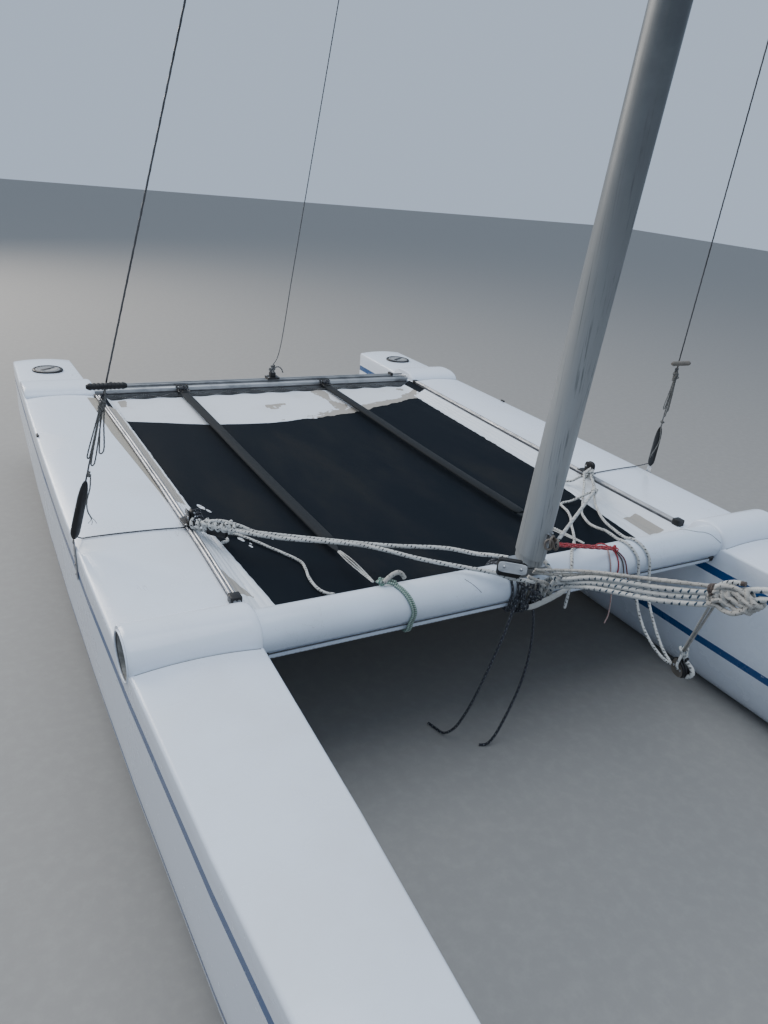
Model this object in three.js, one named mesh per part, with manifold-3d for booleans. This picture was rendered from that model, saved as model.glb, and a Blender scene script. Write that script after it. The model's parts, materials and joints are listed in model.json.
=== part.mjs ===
// Sailing catamaran, parked on its two hulls, with its mast up and its sails and rudders off.
// Millimetres, +Z up. The bows point to -Y, port is +X and starboard is -X.
// The part's origin lies on the floor, under the middle of its length and beam.

import * as THREE from 'three';
import { mergeVertices } from 'three/addons/utils/BufferGeometryUtils.js';
import Module from 'manifold-3d';

const wasm = await Module();
wasm.setup();

// Driving dimensions. Inside the boat's own group, z = 0 is the deck and y = 0 the front beam's face.
const HULL_SPACING = 2080;
const HULL_X = HULL_SPACING / 2;
const BOW_Y = -2560;
const STERN_Y = 2910;
const KEEL_DEPTH = 600;
const CLEARANCE = 0.3;

const FRONT_BEAM = { y: 42, z: 0, halfDepth: 62, halfHeight: 58, halfLength: 1010 };
const REAR_BEAM = { y: 2305, z: -26, halfDepth: 46, halfHeight: 36, corner: 12, halfLength: 1010 };
const BEAM_LIP = { y: 4, z: -52, depth: 16, height: 20 };
const FRONT_FAIRING = { y: 54, halfDepth: 88, height: 70, base: -14 };
const REAR_FAIRING = { y: 2312, halfDepth: 118, height: 38, base: -14 };
const FAIRING_MOUTH = { y: 54, z: 0, halfWidth: 74, halfHeight: 58, innerX: 1060, outerX: 1240 };

const TRAMPOLINE = { frontY: 108, rearY: 2222, edgeZ: 3, innerZ: -30, sag: 16, thickness: 4 };
const RAIL = { frontY: 180, rearY: 2150, width: 22, height: 13, overhang: 6 };
const STRAP = { starboardX: -455, portX: 345, frontY: 470, rearY: 2120, width: 46, thickness: 22, z: -8 };

const MAST_STEP = { width: 96, depth: 92, height: 26, rise: 6, lift: 0.6 };
const MAST = {
  footY: 20, stepZ: 82, baseHeight: 22, length: 8520, leanDegrees: 3.73, hounds: 6130, tangReach: 85,
};
const MAST_SECTION = { halfWidth: 38, halfDepth: 56, groove: 5, grooveDepth: 11 };
const PADEYE = { x: 2, z: 110, width: 24, depth: 20, height: 28, front: 60, eye: 9, eyeHeight: 16, reach: 16 };

const CHAINPLATE = { y: 660, width: 24, thickness: 3, top: 24, bottom: -110 };
const STAY_RADIUS = 2.5;
const SHROUD_COVER = { length: 205, radius: 14 };
const HANDLE = { length: 106, radius: 10, distance: 515 };
const BRIDLE = { tangY: -2240, tangZ: 62, ringZ: 900 };
const PORT_LID = { y: 2650, radius: 74, rim: 13, height: 7 };
const JIB_LEAD = { y: 690, plateWidth: 44, plateLength: 74, plateHeight: 6, sheave: 25 };
const SHEET_BLOCK = { centre: [424, -302, -212], sheave: 22, cheek: 12 };
const GUDGEON = { width: 44, height: 60, plate: 4, eyeWidth: 26, eyeReach: 34, upperZ: -70, lowerZ: -300 };
const TRAVELLER = { width: 34, height: 9, halfLength: 800, grooveY: 9, groove: 5 };
const CAR = { restX: 50, length: 66, width: 52, base: 12, height: 34, towerLength: 30, towerWidth: 24 };

// One row for each station of a hull: half the deck's width, the deck's height, the keel's depth
// and how sharp the bilge is, where 1 is an ellipse and more is closer to a V.
const HULL_STATIONS = [
  { y: BOW_Y, half: 13, deck: 42, keel: -300, sharp: 1.5 },
  { y: -2480, half: 24, deck: 40, keel: -400, sharp: 1.5 },
  { y: -2300, half: 41, deck: 34, keel: -470, sharp: 1.45 },
  { y: -2000, half: 65, deck: 26, keel: -530, sharp: 1.35 },
  { y: -1500, half: 98, deck: 14, keel: -578, sharp: 1.2 },
  { y: -1000, half: 126, deck: 6, keel: -596, sharp: 1.05 },
  { y: -600, half: 148, deck: 2, keel: -KEEL_DEPTH, sharp: 0.95 },
  { y: 0, half: 168, deck: 0, keel: -KEEL_DEPTH, sharp: 0.88 },
  { y: 500, half: 177, deck: 0, keel: -KEEL_DEPTH, sharp: 0.85 },
  { y: 1000, half: 178, deck: 0, keel: -KEEL_DEPTH, sharp: 0.85 },
  { y: 1500, half: 173, deck: 0, keel: -KEEL_DEPTH, sharp: 0.85 },
  { y: 2000, half: 164, deck: 0, keel: -572, sharp: 0.82 },
  { y: 2500, half: 152, deck: 0, keel: -512, sharp: 0.8 },
  { y: 2885, half: 142, deck: -2, keel: -452, sharp: 0.78 },
  { y: STERN_Y, half: 133, deck: -8, keel: -445, sharp: 0.78 },
];
const DECK_CAMBER = 12;
const GUNWALE_ROUND = 10;
const STRIPE_DEPTH = 85;
const KEEL_FLAT = 9;

const SIDES = [
  { side: 'starboard', sign: -1 },
  { side: 'port', sign: 1 },
];

// Finishes
const FINISHES = {
  gelcoat: { color: 0xe9edf2, roughness: 0.28, metalness: 0 },
  beamWhite: { color: 0xe4e8ee, roughness: 0.35, metalness: 0 },
  aluminium: { color: 0xa9adb0, roughness: 0.42, metalness: 0.8 },
  mastGrey: { color: 0x8f9499, roughness: 0.5, metalness: 0.55 },
  stainless: { color: 0xb9bcc0, roughness: 0.3, metalness: 0.95 },
  blackPlastic: { color: 0x17181a, roughness: 0.55, metalness: 0 },
  meshCloth: { color: 0x1d2128, roughness: 0.85, metalness: 0 },
  webbing: { color: 0x33373c, roughness: 0.9, metalness: 0 },
  greyPlastic: { color: 0x8b8f94, roughness: 0.5, metalness: 0 },
  rope: { color: 0xd6d4cc, roughness: 0.9, metalness: 0 },
  darkRope: { color: 0x2a2c30, roughness: 0.9, metalness: 0 },
};

const catamaran = new THREE.Group();
const boat = new THREE.Group();
boat.position.set(0, -(BOW_Y + STERN_Y) / 2, KEEL_DEPTH);
catamaran.add(boat);

const rig = new THREE.Group();
rig.position.set(0, MAST.footY, MAST.stepZ);
rig.rotation.x = THREE.MathUtils.degToRad(MAST.leanDegrees);
boat.add(rig);
rig.updateMatrix();

function addPart(name, geometry, finish, parent = boat) {
  const mesh = new THREE.Mesh(geometry, new THREE.MeshStandardMaterial(FINISHES[finish]));
  mesh.name = name;
  parent.add(mesh);
  return mesh;
}

// Solids

function volumeOf(positions, index) {
  let sum = 0;
  const corners = [new THREE.Vector3(), new THREE.Vector3(), new THREE.Vector3()];
  for (let i = 0; i < index.length; i += 3) {
    corners.forEach((corner, k) => corner.fromArray(positions, index[i + k] * 3));
    sum += corners[0].dot(corners[1].clone().cross(corners[2]));
  }
  return sum / 6;
}

// Joins rings of equally many points into one closed body, with a fan over each end.
function loft(rings) {
  const count = rings[0].length;
  const positions = [];
  const index = [];
  rings.forEach((ring) => ring.forEach((point) => positions.push(...point)));
  for (let r = 0; r < rings.length - 1; r += 1) {
    for (let i = 0; i < count; i += 1) {
      const next = (i + 1) % count;
      const a = r * count + i;
      const b = r * count + next;
      index.push(a, b, b + count, a, b + count, a + count);
    }
  }
  [0, rings.length - 1].forEach((r) => {
    const middle = [0, 0, 0];
    rings[r].forEach((point) => point.forEach((value, k) => { middle[k] += value / count; }));
    const centre = positions.length / 3;
    positions.push(...middle);
    for (let i = 0; i < count; i += 1) {
      const a = r * count + i;
      const b = r * count + ((i + 1) % count);
      if (r === 0) index.push(centre, b, a);
      else index.push(centre, a, b);
    }
  });
  if (volumeOf(positions, index) < 0) index.reverse();
  const geometry = new THREE.BufferGeometry();
  geometry.setAttribute('position', new THREE.Float32BufferAttribute(positions, 3));
  geometry.setIndex(index);
  return geometry;
}

function box(x, y, z, cx, cy, cz) {
  return new THREE.BoxGeometry(x, y, z).translate(cx, cy, cz);
}

function toSolid(geometry) {
  const bare = new THREE.BufferGeometry();
  bare.setAttribute('position', geometry.getAttribute('position').clone());
  if (geometry.index) bare.setIndex(geometry.index.clone());
  const merged = mergeVertices(bare, 1e-4);
  return new wasm.Manifold(new wasm.Mesh({
    numProp: 3,
    vertProperties: new Float32Array(merged.getAttribute('position').array),
    triVerts: new Uint32Array(merged.index.array),
  }));
}

function fromSolid(solid) {
  const mesh = solid.getMesh();
  const geometry = new THREE.BufferGeometry();
  geometry.setAttribute('position', new THREE.BufferAttribute(new Float32Array(mesh.vertProperties), 3));
  geometry.setIndex(new THREE.BufferAttribute(new Uint32Array(mesh.triVerts), 1));
  return geometry;
}

function join(...geometries) {
  return fromSolid(geometries.map(toSolid).reduce((whole, piece) => whole.add(piece)));
}

function cut(geometry, ...tools) {
  return fromSolid(tools.map(toSolid).reduce((whole, tool) => whole.subtract(tool), toSolid(geometry)));
}

// A closed oval ring in a plane of constant x, first at the rear and then upwards.
function ovalRing(x, y, z, halfDepth, halfHeight, sides) {
  return Array.from({ length: sides }, (_, i) => {
    const turn = (i / sides) * Math.PI * 2;
    return [x, y + halfDepth * Math.cos(turn), z + halfHeight * Math.sin(turn)];
  });
}

// A round rod between two points.
function rod(from, to, radius, sides = 8) {
  const start = new THREE.Vector3(...from);
  const way = new THREE.Vector3(...to).sub(start);
  const geometry = new THREE.CylinderGeometry(radius, radius, way.length(), sides);
  geometry.translate(0, way.length() / 2, 0);
  const turn = new THREE.Quaternion().setFromUnitVectors(new THREE.Vector3(0, 1, 0), way.normalize());
  return geometry.applyQuaternion(turn).translate(...from);
}

// A turned body whose profile is [radius, height] pairs, standing on a point along a direction.
function turned(profile, sides, from = [0, 0, 0], along = [0, 0, 1]) {
  const points = profile.map(([radius, height]) => new THREE.Vector2(radius, height));
  const geometry = new THREE.LatheGeometry(points, sides);
  const way = new THREE.Vector3(...along).normalize();
  const turn = new THREE.Quaternion().setFromUnitVectors(new THREE.Vector3(0, 1, 0), way);
  return geometry.applyQuaternion(turn).translate(...from);
}

function pointAlong(from, to, distance) {
  const way = new THREE.Vector3(...to).sub(new THREE.Vector3(...from)).setLength(distance);
  return way.add(new THREE.Vector3(...from)).toArray();
}

// Hulls

function stationAt(y, key) {
  const after = HULL_STATIONS.findIndex((station) => station.y >= y);
  if (after <= 0) return HULL_STATIONS[0][key];
  const a = HULL_STATIONS[after - 1];
  const b = HULL_STATIONS[after];
  return THREE.MathUtils.lerp(a[key], b[key], (y - a.y) / (b.y - a.y));
}

function hullRing(centreX, station) {
  const { y, half, deck, keel, sharp } = station;
  const camber = DECK_CAMBER * (half / 178);
  const middle = deck + (keel - deck) * 0.5;
  const sideHalf = half * 0.96;
  const halfRing = [
    [half * 0.55, deck + camber * 0.7],
    [half - GUNWALE_ROUND * 0.6, deck + camber * 0.1],
    [half, deck - GUNWALE_ROUND],
    [half * 0.985, deck - STRIPE_DEPTH],
    [sideHalf, middle],
  ];
  [28, 50, 68, 81].forEach((degrees) => {
    const turn = THREE.MathUtils.degToRad(degrees);
    const across = Math.max(KEEL_FLAT, sideHalf * Math.cos(turn) ** sharp);
    halfRing.push([across, middle + (keel - middle) * Math.sin(turn)]);
  });
  const keelHalf = Math.min(KEEL_FLAT, half * 0.5);
  halfRing.push([keelHalf, keel]);
  const right = halfRing.map(([x, z]) => [centreX + x, y, z]);
  const left = halfRing.map(([x, z]) => [centreX - x, y, z]).reverse();
  return [[centreX, y, deck + camber], ...right, ...left];
}

function hullBody(sign) {
  return loft(HULL_STATIONS.map((station) => hullRing(sign * HULL_X, station)));
}

function beamBody(beam, halfLength, grow = 0, sides = 20) {
  return loft([-1, 1].map((end) => ovalRing(
    end * halfLength, beam.y, beam.z, beam.halfDepth + grow, beam.halfHeight + grow, sides,
  )));
}

// The rear beam's box section with rounded corners.
function rearBeamRing(x, grow = 0) {
  const { y, z, halfDepth, halfHeight, corner } = REAR_BEAM;
  const ring = [];
  [[1, 1, 0], [-1, 1, 90], [-1, -1, 180], [1, -1, 270]].forEach(([sy, sz, start]) => {
    [0, 45, 90].forEach((step) => {
      const turn = THREE.MathUtils.degToRad(start + step);
      ring.push([
        x,
        y + sy * (halfDepth - corner) + (corner + grow) * Math.cos(turn),
        z + sz * (halfHeight - corner) + (corner + grow) * Math.sin(turn),
      ]);
    });
  });
  return ring;
}

function rearBeamBody(grow, halfLength) {
  return loft([-1, 1].map((end) => rearBeamRing(end * halfLength, grow)));
}

function mouthBody(sign) {
  const { y, z, halfWidth, halfHeight, innerX, outerX } = FAIRING_MOUTH;
  return loft([innerX, outerX].map((x) => ovalRing(sign * x, y, z, halfWidth, halfHeight, 20)));
}

// A low hump that lies over a beam's end on the deck.
function humpRing(x, fairing, scale) {
  const { y, halfDepth, height, base } = fairing;
  const ring = [[x, y + halfDepth * scale, base]];
  for (let degrees = 0; degrees <= 180; degrees += 15) {
    const turn = THREE.MathUtils.degToRad(degrees);
    const flare = Math.abs(Math.cos(turn)) ** 0.85 * Math.sign(Math.cos(turn));
    ring.push([x, y + halfDepth * scale * flare, height * scale * Math.sin(turn)]);
  }
  ring.push([x, y - halfDepth * scale, base]);
  return ring;
}

function humpBody(sign, fairing) {
  const half = stationAt(fairing.y, 'half') - 3;
  const rows = [
    { x: -half, scale: 0.9 },
    { x: -half + 9, scale: 0.98 },
    { x: -half + 24, scale: 1 },
    { x: half - 8, scale: 1 },
    { x: half, scale: 0.96 },
  ];
  return loft(rows.map(({ x, scale }) => humpRing(sign * (HULL_X + x), fairing, scale)));
}

SIDES.forEach(({ side, sign }) => {
  const hull = hullBody(sign);
  const raised = raisedHull(sign);
  const frontBeam = beamBody(FRONT_BEAM, FRONT_BEAM.halfLength, CLEARANCE);
  const rearBeam = rearBeamBody(CLEARANCE, REAR_BEAM.halfLength);
  addPart(`hull_${side}`, cut(hull, frontBeam, rearBeam, mouthBody(sign)), 'gelcoat');
  const frontHump = humpBody(sign, FRONT_FAIRING);
  addPart(`front_fairing_${side}`, cut(frontHump, raised, frontBeam, mouthBody(sign)), 'beamWhite');
  const rearHump = humpBody(sign, REAR_FAIRING);
  addPart(`rear_fairing_${side}`, cut(rearHump, raised, rearBeam), 'beamWhite');
});

// Beams

addPart('front_beam', beamBody(FRONT_BEAM, FRONT_BEAM.halfLength - CLEARANCE), 'beamWhite');
const innerHalf = HULL_X - stationAt(FRONT_BEAM.y, 'half');
addPart('front_beam_lip', cut(
  box(2 * (innerHalf - 6), BEAM_LIP.depth, BEAM_LIP.height, 0, BEAM_LIP.y, BEAM_LIP.z),
  beamBody(FRONT_BEAM, innerHalf, CLEARANCE),
), 'beamWhite');

const trackTop = REAR_BEAM.z + REAR_BEAM.halfHeight;
addPart('rear_beam', rearBeamBody(0, REAR_BEAM.halfLength - CLEARANCE), 'aluminium');
addPart('traveller_track', cut(
  box(2 * TRAVELLER.halfLength, TRAVELLER.width, TRAVELLER.height, 0, REAR_BEAM.y,
    trackTop + CLEARANCE + TRAVELLER.height / 2),
  ...[-TRAVELLER.grooveY, TRAVELLER.grooveY].map((y) => box(
    2 * TRAVELLER.halfLength + 2, TRAVELLER.groove, TRAVELLER.groove,
    0, REAR_BEAM.y + y, trackTop + CLEARANCE + TRAVELLER.height,
  )),
), 'aluminium');

const carFloor = trackTop + CLEARANCE + TRAVELLER.height + CLEARANCE;
addPart('traveller_car', join(
  box(CAR.length, CAR.width, CAR.base, CAR.restX, REAR_BEAM.y, carFloor + CAR.base / 2),
  box(CAR.towerLength, CAR.towerWidth, CAR.height - CAR.base + 1, CAR.restX, REAR_BEAM.y,
    carFloor + (CAR.height + CAR.base - 1) / 2),
), 'blackPlastic');

// Trampoline, its rails and the hiking straps

function railX(y) {
  return HULL_X - stationAt(y, 'half') - RAIL.overhang;
}

function railBody(sign) {
  const floor = DECK_CAMBER * 0.55;
  const rings = [RAIL.frontY, 500, 1000, 1500, 2000, RAIL.rearY].map((y) => {
    const inner = railX(y);
    return [
      [sign * inner, y, -6],
      [sign * (inner + RAIL.width), y, -6],
      [sign * (inner + RAIL.width), y, floor + RAIL.height * 0.6],
      [sign * (inner + RAIL.width * 0.5), y, floor + RAIL.height],
      [sign * inner, y, floor + RAIL.height * 0.8],
    ];
  });
  return loft(rings);
}

function raisedHull(sign) {
  return hullBody(sign).translate(0, 0, CLEARANCE);
}

SIDES.forEach(({ side, sign }) => {
  addPart(`trampoline_rail_${side}`, cut(railBody(sign), raisedHull(sign)), 'aluminium');
});

// The cloth's top across the boat at one y, as [x, z] pairs from starboard to port.
function clothRow(y) {
  const edge = railX(y) - CLEARANCE;
  const along = (y - TRAMPOLINE.frontY) / (TRAMPOLINE.rearY - TRAMPOLINE.frontY);
  const sag = TRAMPOLINE.sag * Math.sin(Math.PI * along);
  return [
    [-edge, TRAMPOLINE.edgeZ],
    [-edge + 60, TRAMPOLINE.innerZ],
    [-edge * 0.5, TRAMPOLINE.innerZ - sag * 0.8],
    [0, TRAMPOLINE.innerZ - sag],
    [edge * 0.5, TRAMPOLINE.innerZ - sag * 0.8],
    [edge - 60, TRAMPOLINE.innerZ],
    [edge, TRAMPOLINE.edgeZ],
  ];
}

function clothRing(y) {
  const row = clothRow(y);
  const top = row.map(([x, z]) => [x, y, z]);
  const bottom = row.map(([x, z]) => [x, y, z - TRAMPOLINE.thickness]).reverse();
  return [...top, ...bottom];
}

function clothBody() {
  const steps = [0, 0.15, 0.35, 0.5, 0.65, 0.85, 1];
  const rings = steps.map((t) => clothRing(THREE.MathUtils.lerp(TRAMPOLINE.frontY, TRAMPOLINE.rearY, t)));
  const positions = rings.flat(2);
  const count = rings[0].length;
  const row = count / 2;
  const index = [];
  for (let r = 0; r < rings.length - 1; r += 1) {
    for (let i = 0; i < count; i += 1) {
      const a = r * count + i;
      const b = r * count + ((i + 1) % count);
      index.push(a, b, b + count, a, b + count, a + count);
    }
  }
  [0, (rings.length - 1) * count].forEach((start) => {
    for (let i = 0; i < row - 1; i += 1) {
      const a = start + i;
      const b = a + 1;
      const c = start + count - 2 - i;
      const d = c + 1;
      if (start === 0) index.push(a, d, b, b, d, c);
      else index.push(a, b, d, b, c, d);
    }
  });
  if (volumeOf(positions, index) < 0) index.reverse();
  const geometry = new THREE.BufferGeometry();
  geometry.setAttribute('position', new THREE.Float32BufferAttribute(positions, 3));
  geometry.setIndex(index);
  return geometry;
}

addPart('trampoline', cut(
  clothBody(),
  beamBody(FRONT_BEAM, innerHalf + 20, CLEARANCE),
  ...SIDES.map(({ sign }) => railBody(sign).translate(-sign * CLEARANCE, 0, 0)),
  ...SIDES.map(({ sign }) => raisedHull(sign).translate(-sign * CLEARANCE, 0, 0)),
), 'meshCloth');

const STRAP_LINE = [
  { y: STRAP.frontY, z: STRAP.z },
  { y: 900, z: STRAP.z - 6 },
  { y: 1300, z: STRAP.z - 8 },
  { y: 1700, z: STRAP.z - 6 },
  { y: STRAP.rearY, z: STRAP.z - 6 },
  { y: 2228, z: STRAP.z - 8 },
  { y: REAR_BEAM.y - REAR_BEAM.halfDepth - CLEARANCE, z: STRAP.z - 14 },
];

SIDES.forEach(({ side, sign }) => {
  const x = sign < 0 ? STRAP.starboardX : STRAP.portX;
  const rings = STRAP_LINE.map(({ y, z }) => Array.from({ length: 8 }, (_, i) => {
    const turn = ((i + 0.5) / 8) * Math.PI * 2;
    return [x + (STRAP.width / 2) * Math.cos(turn), y, z + (STRAP.thickness / 2) * Math.sin(turn)];
  }));
  addPart(`hiking_strap_${side}`, loft(rings), 'webbing');
});

// Mast and what turns with it

const stepFloor = FRONT_BEAM.z + FRONT_BEAM.halfHeight + MAST_STEP.rise;
const ball = MAST.stepZ - MAST_STEP.lift - stepFloor;
addPart('mast_step', cut(
  join(
    box(MAST_STEP.width, MAST_STEP.depth, MAST_STEP.height, 0, FRONT_BEAM.y - 6,
      stepFloor - MAST_STEP.height / 2),
    turned([[0, -4], [26, -4], [24, ball * 0.35], [13, ball * 0.8], [0, ball]], 16,
      [0, MAST.footY, stepFloor]),
  ),
  beamBody(FRONT_BEAM, innerHalf, CLEARANCE),
), 'aluminium');

function mastShape() {
  const { halfWidth, halfDepth, groove, grooveDepth } = MAST_SECTION;
  const shape = new THREE.Shape();
  const steps = 20;
  for (let i = 0; i <= steps; i += 1) {
    const turn = THREE.MathUtils.degToRad(98 + (344 * i) / steps);
    const x = halfWidth * Math.cos(turn);
    const y = halfDepth * Math.sin(turn);
    if (i === 0) shape.moveTo(x, y);
    else shape.lineTo(x, y);
  }
  shape.lineTo(groove, halfDepth - grooveDepth);
  shape.lineTo(-groove, halfDepth - grooveDepth);
  return shape;
}

addPart('mast', new THREE.ExtrudeGeometry(mastShape(), { depth: MAST.length, bevelEnabled: false })
  .translate(0, 0, MAST.baseHeight), 'mastGrey', rig);

function mastPlug(scale, height) {
  const shape = new THREE.Shape();
  shape.absellipse(0, 0, MAST_SECTION.halfWidth * scale, MAST_SECTION.halfDepth * scale, 0, Math.PI * 2);
  return new THREE.ExtrudeGeometry(shape, { depth: height, bevelEnabled: false, curveSegments: 10 });
}

addPart('mast_base', mastPlug(0.93, MAST.baseHeight - 0.4), 'blackPlastic', rig);
const mastTop = MAST.baseHeight + MAST.length;
addPart('masthead', join(
  mastPlug(1.06, 26).translate(0, 0, mastTop + CLEARANCE),
  box(14, 120, 34, 0, 40, mastTop + CLEARANCE + 40),
), 'blackPlastic', rig);

const tangFront = -(MAST_SECTION.halfDepth + CLEARANCE);
addPart('hounds_tang', join(
  box(34, 5, 150, 0, tangFront - 2.5, MAST.hounds + 70),
  box(26, MAST.tangReach + 14 - MAST_SECTION.halfDepth, 6, 0,
    tangFront - (MAST.tangReach + 14 - MAST_SECTION.halfDepth) / 2, MAST.hounds + 22),
), 'stainless', rig);
addPart('mast_padeye', cut(
  join(
    box(PADEYE.width, PADEYE.depth, PADEYE.height, PADEYE.x, PADEYE.depth / 2 - PADEYE.front, PADEYE.z),
    box(PADEYE.eye, PADEYE.reach, PADEYE.eyeHeight, PADEYE.x, 2 - PADEYE.front - PADEYE.reach / 2, PADEYE.z),
  ),
  mastPlug(1.008, 2 * PADEYE.z),
), 'stainless', rig);

// Stays

const hounds = new THREE.Vector3(0, -MAST.tangReach, MAST.hounds).applyMatrix4(rig.matrix).toArray();
const NODE_RADIUS = 13;

function node(point, grow = 0) {
  return new THREE.SphereGeometry(NODE_RADIUS + grow, 14, 10).translate(...point);
}

// A stay between two points, cut short of the shackle or ring at each end that has one.
function stay(from, to, ...nodes) {
  return cut(rod(from, to, STAY_RADIUS), ...nodes.map((point) => node(point, CLEARANCE)));
}

addPart('stay_shackle', node(hounds), 'stainless');
const stayFoot = BRIDLE.tangZ;
const ringShare = (BRIDLE.ringZ - stayFoot) / (hounds[2] - stayFoot);
const ring = [0, THREE.MathUtils.lerp(BRIDLE.tangY, hounds[1], ringShare), BRIDLE.ringZ];
addPart('bridle_ring', node(ring), 'stainless');
addPart('forestay', stay(ring, hounds, ring, hounds), 'stainless');

SIDES.forEach(({ side, sign }) => {
  const tangDeck = stationAt(BRIDLE.tangY, 'deck') + DECK_CAMBER * (stationAt(BRIDLE.tangY, 'half') / 178);
  const tang = join(
    box(20, 74, 5, sign * HULL_X, BRIDLE.tangY, tangDeck + CLEARANCE + 2.5),
    box(6, 36, stayFoot - tangDeck - 8, sign * HULL_X, BRIDLE.tangY,
      tangDeck + 4 + (stayFoot - tangDeck - 8) / 2),
  );
  addPart(`bow_tang_${side}`, cut(tang, raisedHull(sign)), 'stainless');
  addPart(`bridle_${side}`, stay([sign * HULL_X, BRIDLE.tangY, stayFoot], ring, ring), 'stainless');

  const side0 = HULL_X + stationAt(CHAINPLATE.y, 'half') + 0.8;
  const side1 = HULL_X + stationAt(CHAINPLATE.y, 'half') * 0.985 + 0.8;
  const plate = [CHAINPLATE.y - CHAINPLATE.width / 2, CHAINPLATE.y + CHAINPLATE.width / 2].map((y) => [
    [sign * side0, y, CHAINPLATE.top],
    [sign * side0, y, -GUNWALE_ROUND],
    [sign * side1, y, CHAINPLATE.bottom],
    [sign * (side1 + CHAINPLATE.thickness), y, CHAINPLATE.bottom],
    [sign * (side0 + CHAINPLATE.thickness), y, -GUNWALE_ROUND],
    [sign * (side0 + CHAINPLATE.thickness), y, CHAINPLATE.top],
  ]);
  addPart(`chainplate_${side}`, loft(plate), 'stainless');

  const pin = [sign * (side0 + CHAINPLATE.thickness / 2), CHAINPLATE.y, CHAINPLATE.top + 0.6];
  const along = new THREE.Vector3(...hounds).sub(new THREE.Vector3(...pin)).toArray();
  const { length, radius } = SHROUD_COVER;
  addPart(`shroud_cover_${side}`, turned([
    [0, 0], [1.2, 0], [5, 3], [9, 10], [radius, 26], [radius, length - 40], [8, length - 8], [5, length],
    [0, length],
  ], 12, pin, along), 'blackPlastic');
  addPart(`shroud_${side}`, stay(pointAlong(pin, hounds, length + CLEARANCE), hounds, hounds), 'stainless');
  const grip = pointAlong(pin, hounds, HANDLE.distance);
  const aside = STAY_RADIUS + HANDLE.radius + 0.5;
  addPart(`trapeze_handle_${side}`, turned([
    [0, 0], [HANDLE.radius, 0], [HANDLE.radius, HANDLE.length], [0, HANDLE.length],
  ], 12, [grip[0] - HANDLE.length / 2, grip[1] - aside, grip[2]], [1, 0, 0]), 'blackPlastic');
});

// Deck fittings

SIDES.forEach(({ side, sign }) => {
  const x = sign * HULL_X;
  const { y, radius, rim, height } = PORT_LID;
  const raised = raisedHull(sign);
  const ringProfile = [
    [radius - rim, 0], [radius, 0], [radius, 10 + height * 0.4], [radius - 4, 10 + height],
    [radius - rim, 10 + height], [radius - rim, 0],
  ];
  addPart(`port_ring_${side}`, cut(turned(ringProfile, 28, [x, y, 0]), raised), 'blackPlastic');
  const lidRadius = radius - rim - 0.5;
  addPart(`port_lid_${side}`, cut(
    turned([[0, 0], [lidRadius, 0], [lidRadius, 14], [lidRadius - 4, 16], [0, 16]], 28, [x, y, 0]),
    raised,
  ), 'greyPlastic');

  [{ place: 'upper', z: GUDGEON.upperZ }, { place: 'lower', z: GUDGEON.lowerZ }].forEach(({ place, z }) => {
    const face = STERN_Y + CLEARANCE;
    addPart(`gudgeon_${place}_${side}`, join(
      box(GUDGEON.width, GUDGEON.plate, GUDGEON.height, x, face + GUDGEON.plate / 2, z),
      box(GUDGEON.eyeWidth, GUDGEON.eyeReach, 12, x, face + 3 + GUDGEON.eyeReach / 2, z),
    ), 'stainless');
  });

  const { y: leadY, plateWidth, plateLength, plateHeight, sheave } = JIB_LEAD;
  const leadX = railX(leadY) - 8;
  const leadFloor = DECK_CAMBER * 0.55 + RAIL.height + CLEARANCE;
  const cheeks = [[0, -9], [sheave - 4, -9], [sheave, -5], [sheave, 5], [sheave - 4, 9], [0, 9]];
  addPart(`jib_lead_${side}`, join(
    box(plateWidth, plateLength, plateHeight, sign * leadX, leadY, leadFloor + plateHeight / 2),
    turned(cheeks, 16, [sign * leadX, leadY - 14, leadFloor + plateHeight + sheave - 1], [1, 0, 0]),
  ), 'blackPlastic');
});

// Loose ropes. Each route is a list of points on the rope's middle line.

// A point on a rope that lies on the front beam, turned up from the beam's rear face.
function onBeam(x, degrees, radius, gap = 6 * CLEARANCE) {
  const turn = THREE.MathUtils.degToRad(degrees);
  const { y, z, halfDepth, halfHeight } = FRONT_BEAM;
  const out = new THREE.Vector2(Math.cos(turn) / halfDepth, Math.sin(turn) / halfHeight);
  out.setLength(radius + gap);
  return [x, y + halfDepth * Math.cos(turn) + out.x, z + halfHeight * Math.sin(turn) + out.y];
}

// A point on a rope that lies on the trampoline.
function onCloth(x, y, radius) {
  const row = clothRow(y);
  const i = Math.max(1, row.findIndex(([rowX]) => rowX >= x));
  const share = (x - row[i - 1][0]) / (row[i][0] - row[i - 1][0]);
  return [x, y, THREE.MathUtils.lerp(row[i - 1][1], row[i][1], share) + radius + 5 * CLEARANCE];
}

// A point on a rope that lies on the floor.
function onFloor(x, y, radius) {
  return [x, y, CLEARANCE + radius - KEEL_DEPTH];
}

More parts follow.
